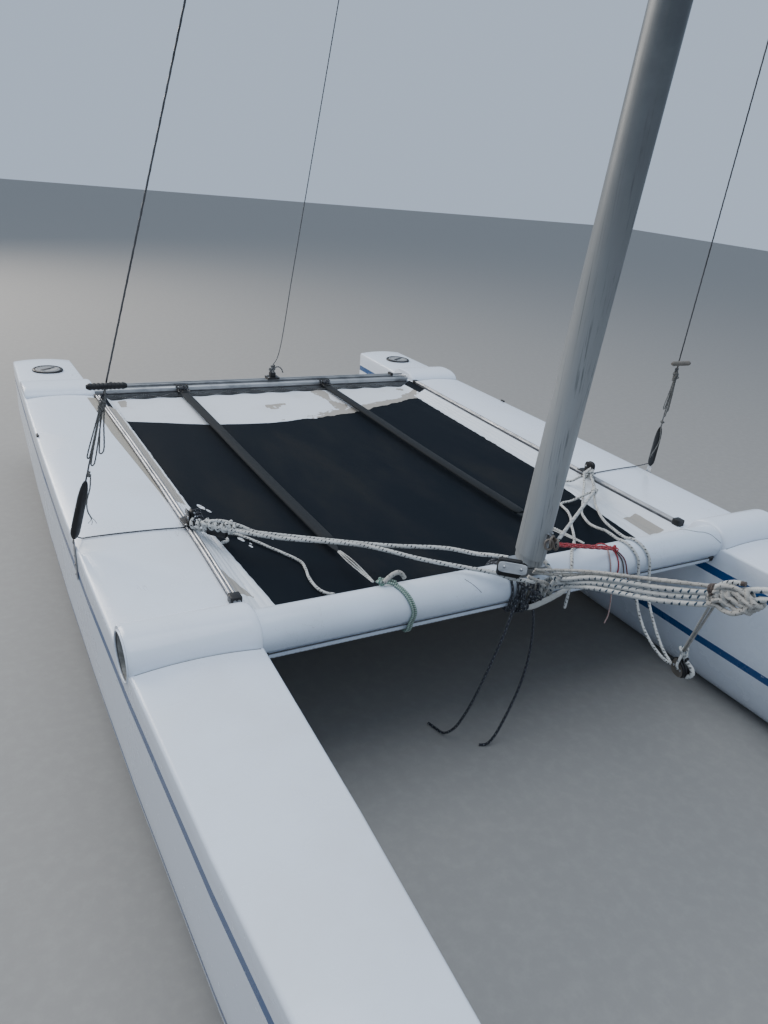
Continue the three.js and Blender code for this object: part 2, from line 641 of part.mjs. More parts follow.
const ROPES = [
  {
    name: 'sheet_loop_inner', radius: 5, steps: 72, finish: 'rope',
    route: [
      [808, 648, 42], [775, 600, 12], [720, 540, -10], [660, 475, -20], [611, 424, -22], [560, 335, -16],
      [510, 245, 12], [462, 152, 47], onBeam(440, 60, 5), onBeam(431, 85, 5), onBeam(434, 110, 5),
      onBeam(440, 135, 5), onBeam(446, 158, 5), [450, -36.5, -34], [450, -52, -108], [450, -105, -185],
      [444, -175, -226], [434, -232, -233], [427, -262, -226], [424, -278, -216.5],
    ],
  },
  {
    name: 'sheet_loop_outer', radius: 5, steps: 72, finish: 'rope',
    route: [
      [836, 642, 44], [812, 590, 16], [770, 530, -8], [720, 465, -16], [655, 375, -10], [590, 290, 10],
      [537, 221, 32], [494, 148, 50], onBeam(476, 60, 5), onBeam(477, 85, 5), onBeam(483, 110, 5),
      onBeam(490, 135, 5), onBeam(497, 158, 5), [503, -37.5, -40], [500, -60, -112], [490, -120, -184],
      [472, -190, -232], [455, -238, -240], [440, -265, -230], [436, -280.5, -217],
    ],
  },
  {
    name: 'lazy_line', radius: 5, steps: 72, finish: 'rope',
    route: [
      [754, 519, 10], [728, 517, 10], [702, 516, 5], [672, 520, -8], [642, 530, -23],
      ...[[612, 535], [590, 524], [582, 500], [574, 468], [545, 415], [501, 359], [446, 284]]
        .map(([x, y]) => onCloth(x, y, 5)),
      [402, 232, -21], [350, 184, 6], [300, 137, 34], onBeam(245, 62, 5), onBeam(206, 85, 5),
      onBeam(180, 110, 5), onBeam(162, 135, 5), onBeam(150, 158, 5), [144, -34.5, -30], [141, -36, -60],
      [140, -36, -90],
    ],
  },
  {
    name: 'mat_line', radius: 4.5, steps: 56, finish: 'rope',
    route: [
      [-838, 646, 34], [-806, 652, 7], [-772, 656, -15], [-744, 655, -23.4],
      ...[[-716, 645], [-676, 585], [-645, 526], [-612, 465], [-587, 403], [-592, 355], [-603, 310],
        [-608, 262], [-604, 222], [-592, 198], [-572, 186]].map(([x, y]) => onCloth(x, y, 4.5)),
    ],
  },
  {
    name: 'lashing_tail_long', radius: 4.5, steps: 50, finish: 'darkRope',
    route: [
      onBeam(-40, 160, 4.5, CLEARANCE), [-60, -34, -18], [-80, -40, -60], [-95, -42, -120],
      [-110, -38, -190], [-128, -32, -270], [-142, -18, -360], [-152, 5, -450], [-162, 40, -540],
      [-170, 80, -588], onFloor(-178, 119, 4.5), onFloor(-186, 150, 4.5),
    ],
  },
  {
    name: 'lashing_tail_short', radius: 4.5, steps: 50, finish: 'darkRope',
    route: [
      onBeam(-6, 160, 4.5, CLEARANCE), [-6, -34, -18], [7, -36, -70], [23, -34, -133], [33, -31, -195],
      [36, -30, -253], [30, -30, -330], [17, -30, -395], [0, -30, -450], [-18, -30, -500],
      [-42, -27, -560], [-62, -20, -590.5], onFloor(-84, -10, 4.5),
    ],
  },
];

ROPES.forEach(({ name, radius, steps, finish, route }) => {
  const points = route.map((point) => new THREE.Vector3(...point));
  const line = new THREE.CatmullRomCurve3(points, false, 'centripetal');
  const section = new THREE.Shape();
  section.absarc(0, 0, radius, 0, Math.PI * 2);
  addPart(name, new THREE.ExtrudeGeometry(section, { steps, curveSegments: 4, extrudePath: line }), finish);
});

const { centre: hangerCentre, sheave: hangerSheave, cheek } = SHEET_BLOCK;
addPart('sheet_block', join(
  turned([[0, -cheek], [hangerSheave - 5, -cheek], [hangerSheave, 2 - cheek], [hangerSheave, cheek - 2],
    [hangerSheave - 5, cheek], [0, cheek]], 16, hangerCentre, [0.97, -0.25, 0]),
  box(10, 10, 22, hangerCentre[0], hangerCentre[1], hangerCentre[2] + hangerSheave + 6),
), 'blackPlastic');

export default catamaran;
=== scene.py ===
"""Looks of a sailing catamaran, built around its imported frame.

Metres, +Z up. The bows point to -Y, port is +X and starboard is -X. On the boat's own plans the deck is z = 0
and the front beam's face is y = 0. boat() takes a point of those plans to the frame, whose floor is z = 0.
Sizes are in metres. The routes of ropes are strings of millimetres, as laid() reads them.
"""

import json
import logging
import math
from dataclasses import dataclass, field
from enum import Enum

import bmesh
import bpy
from mathutils import Matrix, Vector, noise

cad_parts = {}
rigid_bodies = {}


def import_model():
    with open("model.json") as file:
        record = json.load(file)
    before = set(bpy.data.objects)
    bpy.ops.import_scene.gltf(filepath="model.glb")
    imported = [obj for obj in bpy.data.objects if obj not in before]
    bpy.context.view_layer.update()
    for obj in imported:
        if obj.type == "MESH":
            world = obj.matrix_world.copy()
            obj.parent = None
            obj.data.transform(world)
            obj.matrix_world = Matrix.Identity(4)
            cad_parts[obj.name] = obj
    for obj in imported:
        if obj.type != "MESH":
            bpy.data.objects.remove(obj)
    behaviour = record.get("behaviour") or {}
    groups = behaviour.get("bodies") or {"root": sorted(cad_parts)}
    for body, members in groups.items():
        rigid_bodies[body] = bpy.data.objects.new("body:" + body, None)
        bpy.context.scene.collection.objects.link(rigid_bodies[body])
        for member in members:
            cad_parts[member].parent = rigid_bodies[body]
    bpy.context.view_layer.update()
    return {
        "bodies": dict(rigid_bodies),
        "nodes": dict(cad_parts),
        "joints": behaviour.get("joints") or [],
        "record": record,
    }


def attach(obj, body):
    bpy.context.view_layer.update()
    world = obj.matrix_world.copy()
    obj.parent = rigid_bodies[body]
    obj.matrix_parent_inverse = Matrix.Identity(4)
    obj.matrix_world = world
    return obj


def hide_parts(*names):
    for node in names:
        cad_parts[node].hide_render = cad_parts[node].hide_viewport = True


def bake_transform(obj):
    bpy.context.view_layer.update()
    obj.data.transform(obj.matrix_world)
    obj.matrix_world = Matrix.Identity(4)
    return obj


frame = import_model()

log = logging.getLogger("catamaran")

Triple = tuple[float, float, float]
Line = list[Vector]
Piece = bpy.types.Object
Finish = bpy.types.Material
Socket = bpy.types.NodeSocket

UP = Vector((0, 0, 1))
PLAN_SHIFT = Vector((0.0, -0.175, 0.600))

# Places and sizes on the plans that several sub-assemblies share.
HULL_X = 1.040
WIDEST_HALF = 0.178
CAMBER = 0.012
FRONT_BEAM_Y = 0.042
FRONT_HALF_DEPTH = 0.062
FRONT_HALF_HEIGHT = 0.058
REAR_BEAM_Y = 2.305
SHROUD_Y = 0.660
LEAD_Y = 0.690
TANG_Y = -2.240
STRAP_X = (-0.455, 0.345)
EYELET_PITCH = 0.145


def boat(x: float, y: float, z: float) -> Vector:
    """Takes a point of the boat's plans to the frame."""
    return Vector((x, y, z)) + PLAN_SHIFT


def pairs(text: str) -> list[tuple[float, float]]:
    """Reads pairs of millimetres as metres."""
    return [tuple(float(value) / 1000 for value in pair.split()) for pair in text.split(", ")]


def angles(count: int, points: int | None = None) -> list[float]:
    """Even steps round a circle, past its start again where more points than steps are asked for."""
    return [2 * math.pi * i / count for i in range(points or count)]


def rough(x: float, y: float, z: float) -> float:
    """Smooth noise at a point, from about -1 to 1."""
    return noise.noise(Vector((x, y, z)))


def four(x: float, y: float, z: float, dx: float, dy: float = 0.0, dz: float = 0.0) -> Line:
    """The four corners about a place on the plans, across the boat and along or up it."""
    return [boat(x + across * dx, y + other * dy, z + other * dz) for across in (-1, 1) for other in (-1, 1)]


class Body(Enum):
    """The bodies that a piece can ride on."""

    ROOT = "root"
    MAST = "mast"
    CAR = "traveller_car"


class Slot(Enum):
    """The record's material slots."""

    GELCOAT = "gelcoat"
    BEAM_WHITE = "beam_white"
    ALUMINIUM = "aluminium"
    MAST_GREY = "mast_grey"
    STAINLESS = "stainless"
    BLACK_PLASTIC = "black_plastic"
    GREY_PLASTIC = "grey_plastic"
    MESH_CLOTH = "mesh_cloth"
    WEBBING = "webbing"
    ROPE = "rope"
    DARK_ROPE = "dark_rope"


@dataclass(frozen=True)
class Side:
    """One side of the boat: its name, and the sign of its x."""

    name: str
    sign: int


SIDES = (Side("starboard", -1), Side("port", 1))


# Node graphs


class Graph:
    """A node tree, with short calls that add to it."""

    def __init__(self, tree: bpy.types.NodeTree) -> None:
        """Keeps the tree.

        Args:
            tree: the shader or geometry tree to add to.
        """
        self.tree = tree

    def feed(self, socket: Socket, value: object) -> None:
        """Links a socket to another one, or sets its value."""
        if isinstance(value, Socket):
            self.tree.links.new(value, socket)
        else:
            socket.default_value = value

    def add(self, kind: str, settings: dict[str, object] | None = None,
            inputs: dict[str | int, object] | None = None) -> bpy.types.Node:
        """Adds one node.

        Args:
            kind: the node's type.
            settings: its properties.
            inputs: what goes into its sockets, by name or number.

        Returns:
            The node.
        """
        node = self.tree.nodes.new(kind)
        for key, value in (settings or {}).items():
            setattr(node, key, value)
        for key, value in (inputs or {}).items():
            self.feed(node.inputs[key], value)
        return node

    def math(self, operation: str, *values: object) -> Socket:
        """Adds a Math node and returns its result."""
        node = self.add("ShaderNodeMath", {"operation": operation}, dict(enumerate(values)))
        return node.outputs[0]

    def vector(self, operation: str, *values: object) -> Socket:
        """Adds a Vector Math node and returns its vector."""
        node = self.add("ShaderNodeVectorMath", {"operation": operation}, dict(enumerate(values)))
        return node.outputs["Value" if operation in ("LENGTH", "DISTANCE", "DOT_PRODUCT") else "Vector"]

    def split(self, vector: Socket) -> list[Socket]:
        """Splits a vector into its three numbers."""
        return list(self.add("ShaderNodeSeparateXYZ", inputs={0: vector}).outputs)

    def joined(self, x: object, y: object, z: object) -> Socket:
        """Makes a vector of three numbers."""
        return self.add("ShaderNodeCombineXYZ", inputs={0: x, 1: y, 2: z}).outputs[0]

    def remap(self, value: object, low: object, high: object, to_low: float = 0.0,
              to_high: float = 1.0) -> Socket:
        """Takes a range of values to another one, and holds it there."""
        node = self.add("ShaderNodeMapRange", {"interpolation_type": "SMOOTHSTEP"},
                        {0: value, 1: low, 2: high, 3: to_low, 4: to_high})
        return node.outputs[0]

    def mix(self, share: object, first: object, second: object) -> Socket:
        """Mixes two colours."""
        node = self.add("ShaderNodeMix", {"data_type": "RGBA"}, {0: share, 6: first, 7: second})
        return node.outputs[2]

    def noise(self, vector: object, scale: object, detail: float = 4.0,
              roughness: float = 0.55) -> Socket:
        """Adds a noise texture and returns its value."""
        node = self.add("ShaderNodeTexNoise", inputs={"Vector": vector, "Scale": scale, "Detail": detail,
                                                      "Roughness": roughness})
        return node.outputs["Fac"]

    def stretched(self, vector: object, scale: Triple) -> Socket:
        """Scales a vector along its three axes."""
        return self.vector("MULTIPLY", vector, scale)

    def scaled(self, vector: object, scale: object) -> Socket:
        """Scales a vector evenly."""
        return self.add("ShaderNodeVectorMath", {"operation": "SCALE"}, {0: vector, "Scale": scale}).outputs[0]


class Group(Graph):
    """A node group with named inputs and outputs."""

    def __init__(self, name: str, kind: str, inputs: dict[str, str], outputs: dict[str, str]) -> None:
        """Makes an empty group.

        Args:
            name: the group's name.
            kind: ShaderNodeTree or GeometryNodeTree.
            inputs: the kind of each input socket, by name.
            outputs: the kind of each output socket, by name.
        """
        super().__init__(bpy.data.node_groups.new(name, kind))
        for way, sockets in (("INPUT", inputs), ("OUTPUT", outputs)):
            for label, socket in sockets.items():
                self.tree.interface.new_socket(label, in_out=way, socket_type=f"NodeSocket{socket}")
        self.start = self.tree.nodes.new("NodeGroupInput")
        self.end = self.tree.nodes.new("NodeGroupOutput")

    def given(self, label: str) -> Socket:
        """Returns the group's own input of that name."""
        return self.start.outputs[label]

    def give(self, label: str, value: Socket) -> None:
        """Sends a value out of the group."""
        self.feed(self.end.inputs[label], value)


class Effects:
    """The shader groups that several finishes share."""

    def __init__(self) -> None:
        """Builds each group once."""
        self.blotches = self._blotches()
        self.scratches = self._scratches()
        self.weave = self._weave()
        self.tracers = self._tracers()

    @staticmethod
    def _blotches() -> Group:
        """Soft patches, such as chalk, dust or stains."""
        group = Group("blotches", "ShaderNodeTree", {"Vector": "Vector", "Scale": "Float", "Low": "Float",
                                                     "High": "Float"}, {"Mask": "Float"})
        wide = group.noise(group.given("Vector"), group.given("Scale"), 6.0, 0.62)
        group.give("Mask", group.remap(wide, group.given("Low"), group.given("High")))
        return group

    @staticmethod
    def _scratches() -> Group:
        """Fine scuff lines that run mostly one way, broken into short lengths."""
        group = Group("scratches", "ShaderNodeTree", {"Vector": "Vector", "Scale": "Float", "Amount": "Float"},
                      {"Mask": "Float"})
        vector = group.given("Vector")
        sway = group.add("ShaderNodeTexNoise", inputs={"Vector": vector, "Scale": 3.0}).outputs["Color"]
        bent = group.vector("ADD", vector, group.scaled(sway, 0.12))
        lines = group.noise(group.stretched(bent, (1.0, 0.05, 1.0)), group.given("Scale"), 2.0)
        thin = group.remap(group.math("ABSOLUTE", group.math("SUBTRACT", lines, 0.5)), 0.006, 0.0)
        patches = group.noise(vector, 6.0, 3.0)
        edge = group.math("SUBTRACT", 0.72, group.math("MULTIPLY", group.given("Amount"), 0.3))
        broken = group.remap(patches, edge, group.math("ADD", edge, 0.06))
        group.give("Mask", group.math("MULTIPLY", thin, broken))
        return group

    @staticmethod
    def _weave() -> Group:
        """A plain weave in the vector's x and y, as a height, with the gaps between threads as a mask."""
        group = Group("weave", "ShaderNodeTree", {"Vector": "Vector", "Threads": "Float"},
                      {"Height": "Float", "Gap": "Float"})
        x, y, _ = group.split(group.scaled(group.given("Vector"), group.given("Threads")))
        across = group.math("SINE", group.math("MULTIPLY", x, math.pi))
        along = group.math("SINE", group.math("MULTIPLY", y, math.pi))
        over = group.math("MULTIPLY", across, along)
        height = group.math("MULTIPLY_ADD", over, 0.5, 0.5)
        open_ = group.math("MAXIMUM", group.math("ABSOLUTE", across), group.math("ABSOLUTE", along))
        group.give("Height", height)
        group.give("Gap", group.remap(open_, 0.45, 0.2))
        return group

    @staticmethod
    def _tracers() -> Group:
        """The braid of a rope and the dark dashes woven into it, from its lay attribute."""
        group = Group("tracers", "ShaderNodeTree", {"Lay": "Vector", "Pitch": "Float", "Width": "Float",
                                                    "Dash": "Float", "Share": "Float"},
                      {"Height": "Float", "Mask": "Float"})
        cosine, sine, along = group.split(group.given("Lay"))
        around = group.math("DIVIDE", group.math("ARCTAN2", sine, cosine), 2 * math.pi)
        turns = group.math("DIVIDE", along, group.given("Pitch"))
        masks = []
        for start in (0.0, 0.5):
            wound = group.math("FRACT", group.math("ADD", group.math("ADD", around, turns), start))
            near = group.math("ABSOLUTE", group.math("SUBTRACT", wound, 0.5))
            masks.append(group.math("LESS_THAN", near, group.given("Width")))
        beat = group.math("FRACT", group.math("DIVIDE", along, group.given("Dash")))
        shown = group.math("LESS_THAN", beat, group.given("Share"))
        group.give("Mask", group.math("MULTIPLY", group.math("MAXIMUM", *masks), shown))
        left = group.math("MULTIPLY_ADD", around, 6.0, group.math("MULTIPLY", turns, 5.0))
        right = group.math("MULTIPLY_ADD", around, 6.0, group.math("MULTIPLY", turns, -5.0))
        braid = [group.math("SINE", group.math("MULTIPLY", turn, 2 * math.pi)) for turn in (left, right)]
        group.give("Height", group.math("MULTIPLY_ADD", group.math("MULTIPLY", *braid), 0.5, 0.5))
        return group


EFFECTS = Effects()
Colour = tuple[float, float, float, float]


def rgb(red: float, green: float, blue: float) -> Colour:
    """Makes an opaque colour of three linear parts."""
    return (red, green, blue, 1.0)


class Shader(Graph):
    """A material with one Principled shader, and short calls for what goes into it."""

    def __init__(self, name: str, constants: dict[str, float]) -> None:
        """Makes the material.

        Args:
            name: the material's name.
            constants: values of the Principled shader's sockets that are the same all over.
        """
        self.material = bpy.data.materials.new(name)
        self.material.use_nodes = True
        super().__init__(self.material.node_tree)
        self.principled = self.tree.nodes["Principled BSDF"]
        for label, value in constants.items():
            self.principled.inputs[label].default_value = value
        self.place = self.add("ShaderNodeTexCoord").outputs["Object"]

    def use(self, group: Group, **inputs: object) -> bpy.types.Node:
        """Places a shared effect and feeds its inputs by name."""
        node = self.add("ShaderNodeGroup", {"node_tree": group.tree})
        for label, value in inputs.items():
            self.feed(node.inputs[label.title()], value)
        return node

    def patches(self, scale: float, low: float, high: float) -> Socket:
        """Soft patches over the piece, such as chalk, dust or stains."""
        return self.use(EFFECTS.blotches, vector=self.place, scale=scale, low=low, high=high).outputs[0]

    def attribute(self, name: str, output: str = "Fac") -> Socket:
        """Reads an attribute of the piece."""
        return self.add("ShaderNodeAttribute", {"attribute_name": name}).outputs[output]

    def bump(self, height: object, distance: float, strength: float = 1.0) -> None:
        """Adds a bump, on top of the last one."""
        before = self.principled.inputs["Normal"].links
        node = self.add("ShaderNodeBump", inputs={"Height": height, "Distance": distance, "Strength": strength})
        if before:
            self.feed(node.inputs["Normal"], before[0].from_socket)
        self.feed(self.principled.inputs["Normal"], node.outputs["Normal"])

    def dress(self, colour: object, roughness: object) -> Finish:
        """Sets the colour and roughness, and returns the material."""
        self.feed(self.principled.inputs["Base Color"], colour)
        self.feed(self.principled.inputs["Roughness"], roughness)
        return self.material


# Finishes


@dataclass(frozen=True)
class Gloss:
    """White gelcoat or paint: chalky patches, faint dirt, scuff lines, and stripes where the piece has them."""

    name: str
    white: Colour
    dirt: Colour
    dirt_share: float = 0.35
    roughness: tuple[float, float] = (0.22, 0.42)
    scuffs: float = 0.35
    stripes: tuple[tuple[float, float], ...] = ()
    stripe: Colour = (0.008, 0.075, 0.235, 1.0)

    def material(self) -> Finish:
        """Builds the material."""
        shader = Shader(self.name, {"Coat Weight": 0.25, "Coat Roughness": 0.12, "Specular IOR Level": 0.45})
        chalk = shader.patches(2.2, 0.42, 0.72)
        grain = shader.patches(34.0, 0.5, 0.75)
        soil = shader.math("MULTIPLY", shader.math("MAXIMUM", chalk, shader.math("MULTIPLY", grain, 0.5)),
                           self.dirt_share)
        colour = shader.mix(soil, self.white, self.dirt)
        lines = shader.use(EFFECTS.scratches, vector=shader.place, scale=38.0, amount=self.scuffs).outputs[0]
        colour = shader.mix(shader.math("MULTIPLY", lines, 0.55), colour, rgb(0.30, 0.30, 0.29))
        if self.stripes:
            depth = shader.attribute("below_deck")
            band = None
            for top, bottom in self.stripes:
                inside = shader.math("MULTIPLY", shader.math("GREATER_THAN", depth, top),
                                     shader.math("LESS_THAN", depth, bottom))
                band = inside if band is None else shader.math("MAXIMUM", band, inside)
            worn = shader.math("MULTIPLY", band, shader.remap(grain, 0.9, 0.6, 0.55, 1.0))
            colour = shader.mix(worn, colour, self.stripe)
        shader.bump(shader.noise(shader.place, 160.0, 2.0), 0.0002, 0.4)
        return shader.dress(colour, shader.remap(soil, 0.0, 0.35, *self.roughness))


@dataclass(frozen=True)
class Metal:
    """Weathered metal with a grain that runs one way."""

    name: str
    colour: Colour
    dull: Colour
    grain: Triple = (0.04, 1.0, 1.0)
    roughness: tuple[float, float] = (0.32, 0.5)
    metallic: float = 0.85
    spots: float = 0.3

    def material(self) -> Finish:
        """Builds the material."""
        shader = Shader(self.name, {"Metallic": self.metallic})
        drawn = shader.noise(shader.stretched(shader.place, self.grain), 260.0, 3.0)
        cloudy = shader.patches(9.0, 0.4, 0.7)
        speck = shader.patches(240.0, 0.66, 0.7)
        colour = shader.mix(cloudy, self.colour, self.dull)
        colour = shader.mix(shader.math("MULTIPLY", speck, self.spots), colour, rgb(0.09, 0.085, 0.08))
        shader.bump(drawn, 0.0003, 0.35)
        return shader.dress(colour, shader.remap(drawn, 0.3, 0.7, *self.roughness))


@dataclass(frozen=True)
class Spar:
    """The mast's worn grey anodising: long streaks up and down, small pits, and painted light, lighter at its foot."""

    name: str
    colour: Colour
    low: Colour
    streak: Colour
    shade: tuple[float, float] = (0.95, 2.20)

    def material(self) -> Finish:
        """Builds the material."""
        shader = Shader(self.name, {"Metallic": 0.25, "Specular IOR Level": 0.4})
        fine = shader.noise(shader.stretched(shader.place, (1.0, 1.0, 0.012)), 210.0, 4.0, 0.6)
        broad = shader.noise(shader.stretched(shader.place, (1.0, 1.0, 0.05)), 36.0, 4.0)
        streaks = shader.math("MULTIPLY", shader.remap(fine, 0.5, 0.74), shader.remap(broad, 0.35, 0.65))
        # Painted light: the lighter low colour at the foot blends into the darker colour above, between the shade
        # heights.
        height = shader.split(shader.place)[2]
        painted_light_by_height = shader.mix(shader.remap(height, *self.shade), self.low, self.colour)
        colour = shader.mix(streaks, painted_light_by_height, self.streak)
        cloudy = shader.patches(5.0, 0.45, 0.7)
        colour = shader.mix(shader.math("MULTIPLY", cloudy, 0.2), colour, rgb(0.26, 0.28, 0.29))
        pits = shader.patches(190.0, 0.7, 0.73)
        colour = shader.mix(shader.math("MULTIPLY", pits, 0.6), colour, rgb(0.03, 0.03, 0.03))
        shader.bump(fine, 0.0003, 0.35)
        return shader.dress(colour, shader.remap(broad, 0.3, 0.7, 0.36, 0.55))


@dataclass(frozen=True)
class Plastic:
    """Moulded plastic, bleached in patches."""

    name: str
    colour: Colour
    bleached: Colour
    roughness: tuple[float, float] = (0.42, 0.68)

    def material(self) -> Finish:
        """Builds the material."""
        shader = Shader(self.name, {"Specular IOR Level": 0.45})
        faded = shader.patches(24.0, 0.4, 0.72)
        pores = shader.noise(shader.place, 900.0, 2.0)
        shader.bump(pores, 0.0003, 0.5)
        return shader.dress(shader.mix(shader.math("MULTIPLY", faded, 0.6), self.colour, self.bleached),
                            shader.remap(faded, 0.0, 1.0, *self.roughness))


@dataclass(frozen=True)
class Cloth:
    """Woven cloth with dust in it."""

    name: str
    thread: Colour
    gap: Colour
    dust: Colour
    threads: float = 420.0
    dust_share: float = 0.3
    sheen: float = 0.15
    shine: float = 0.25

    def material(self) -> Finish:
        """Builds the material."""
        shader = Shader(self.name, {"Specular IOR Level": self.shine, "Sheen Weight": self.sheen,
                                    "Sheen Roughness": 0.5})
        woven = shader.use(EFFECTS.weave, vector=shader.place, threads=self.threads)
        colour = shader.mix(woven.outputs["Gap"], self.thread, self.gap)
        drift = shader.noise(shader.stretched(shader.place, (1.0, 0.3, 1.0)), 3.6, 6.0, 0.6)
        fine = shader.noise(shader.place, 60.0, 3.0)
        dusty = shader.math("MULTIPLY", shader.remap(drift, 0.42, 0.74), shader.remap(fine, 0.3, 0.7, 0.5, 1.0))
        colour = shader.mix(shader.math("MULTIPLY", dusty, self.dust_share), colour, self.dust)
        shader.bump(woven.outputs["Height"], 0.0006, 0.6)
        return shader.dress(colour, shader.remap(dusty, 0.0, 1.0, 0.72, 0.92))


@dataclass(frozen=True)
class Vinyl:
    """Coated white border cloth. Its coating has flaked off where the piece's wear attribute is high."""

    name: str
    white: Colour
    bare: Colour

    def material(self) -> Finish:
        """Builds the material."""
        shader = Shader(self.name, {"Specular IOR Level": 0.4})
        wear = shader.attribute("wear")
        edge = shader.noise(shader.place, 26.0, 6.0, 0.65)
        flaked = shader.remap(shader.math("ADD", wear, shader.math("MULTIPLY_ADD", edge, 0.9, -0.45)), 0.46, 0.54)
        stains = shader.patches(7.0, 0.5, 0.8)
        cracks = shader.use(EFFECTS.scratches, vector=shader.place, scale=22.0, amount=0.5).outputs[0]
        colour = shader.mix(shader.math("MULTIPLY", stains, 0.3), self.white, rgb(0.50, 0.49, 0.46))
        colour = shader.mix(shader.math("MULTIPLY", cracks, 0.4), colour, rgb(0.28, 0.27, 0.25))
        colour = shader.mix(flaked, colour, self.bare)
        woven = shader.use(EFFECTS.weave, vector=shader.place, threads=500.0).outputs["Height"]
        shader.bump(shader.math("SUBTRACT", shader.math("MULTIPLY", woven, 0.3), flaked), 0.0012, 0.5)
        return shader.dress(colour, shader.remap(flaked, 0.0, 1.0, 0.45, 0.9))


@dataclass(frozen=True)
class Rope:
    """Braided rope with dashes of a second colour."""

    name: str
    colour: Colour
    dash: Colour
    pitch: float = 0.030
    width: float = 0.07
    beat: float = 0.0085
    share: float = 0.34
    grey: Colour = (0.30, 0.29, 0.27, 1.0)

    def material(self) -> Finish:
        """Builds the material."""
        shader = Shader(self.name, {"Specular IOR Level": 0.2, "Sheen Weight": 0.2})
        lay = shader.attribute("rope_lay", "Vector")
        braid = shader.use(EFFECTS.tracers, lay=lay, pitch=self.pitch, width=self.width, dash=self.beat,
                           share=self.share)
        soil = shader.patches(16.0, 0.42, 0.74)
        colour = shader.mix(shader.math("MULTIPLY", soil, 0.5), self.colour, self.grey)
        creased = shader.remap(braid.outputs["Height"], 0.0, 0.45, 0.60, 0.0)
        colour = shader.mix(creased, colour, self.grey)
        colour = shader.mix(braid.outputs["Mask"], colour, self.dash)
        shader.bump(braid.outputs["Height"], 0.0008, 0.7)
        return shader.dress(colour, shader.remap(soil, 0.0, 1.0, 0.78, 0.92))


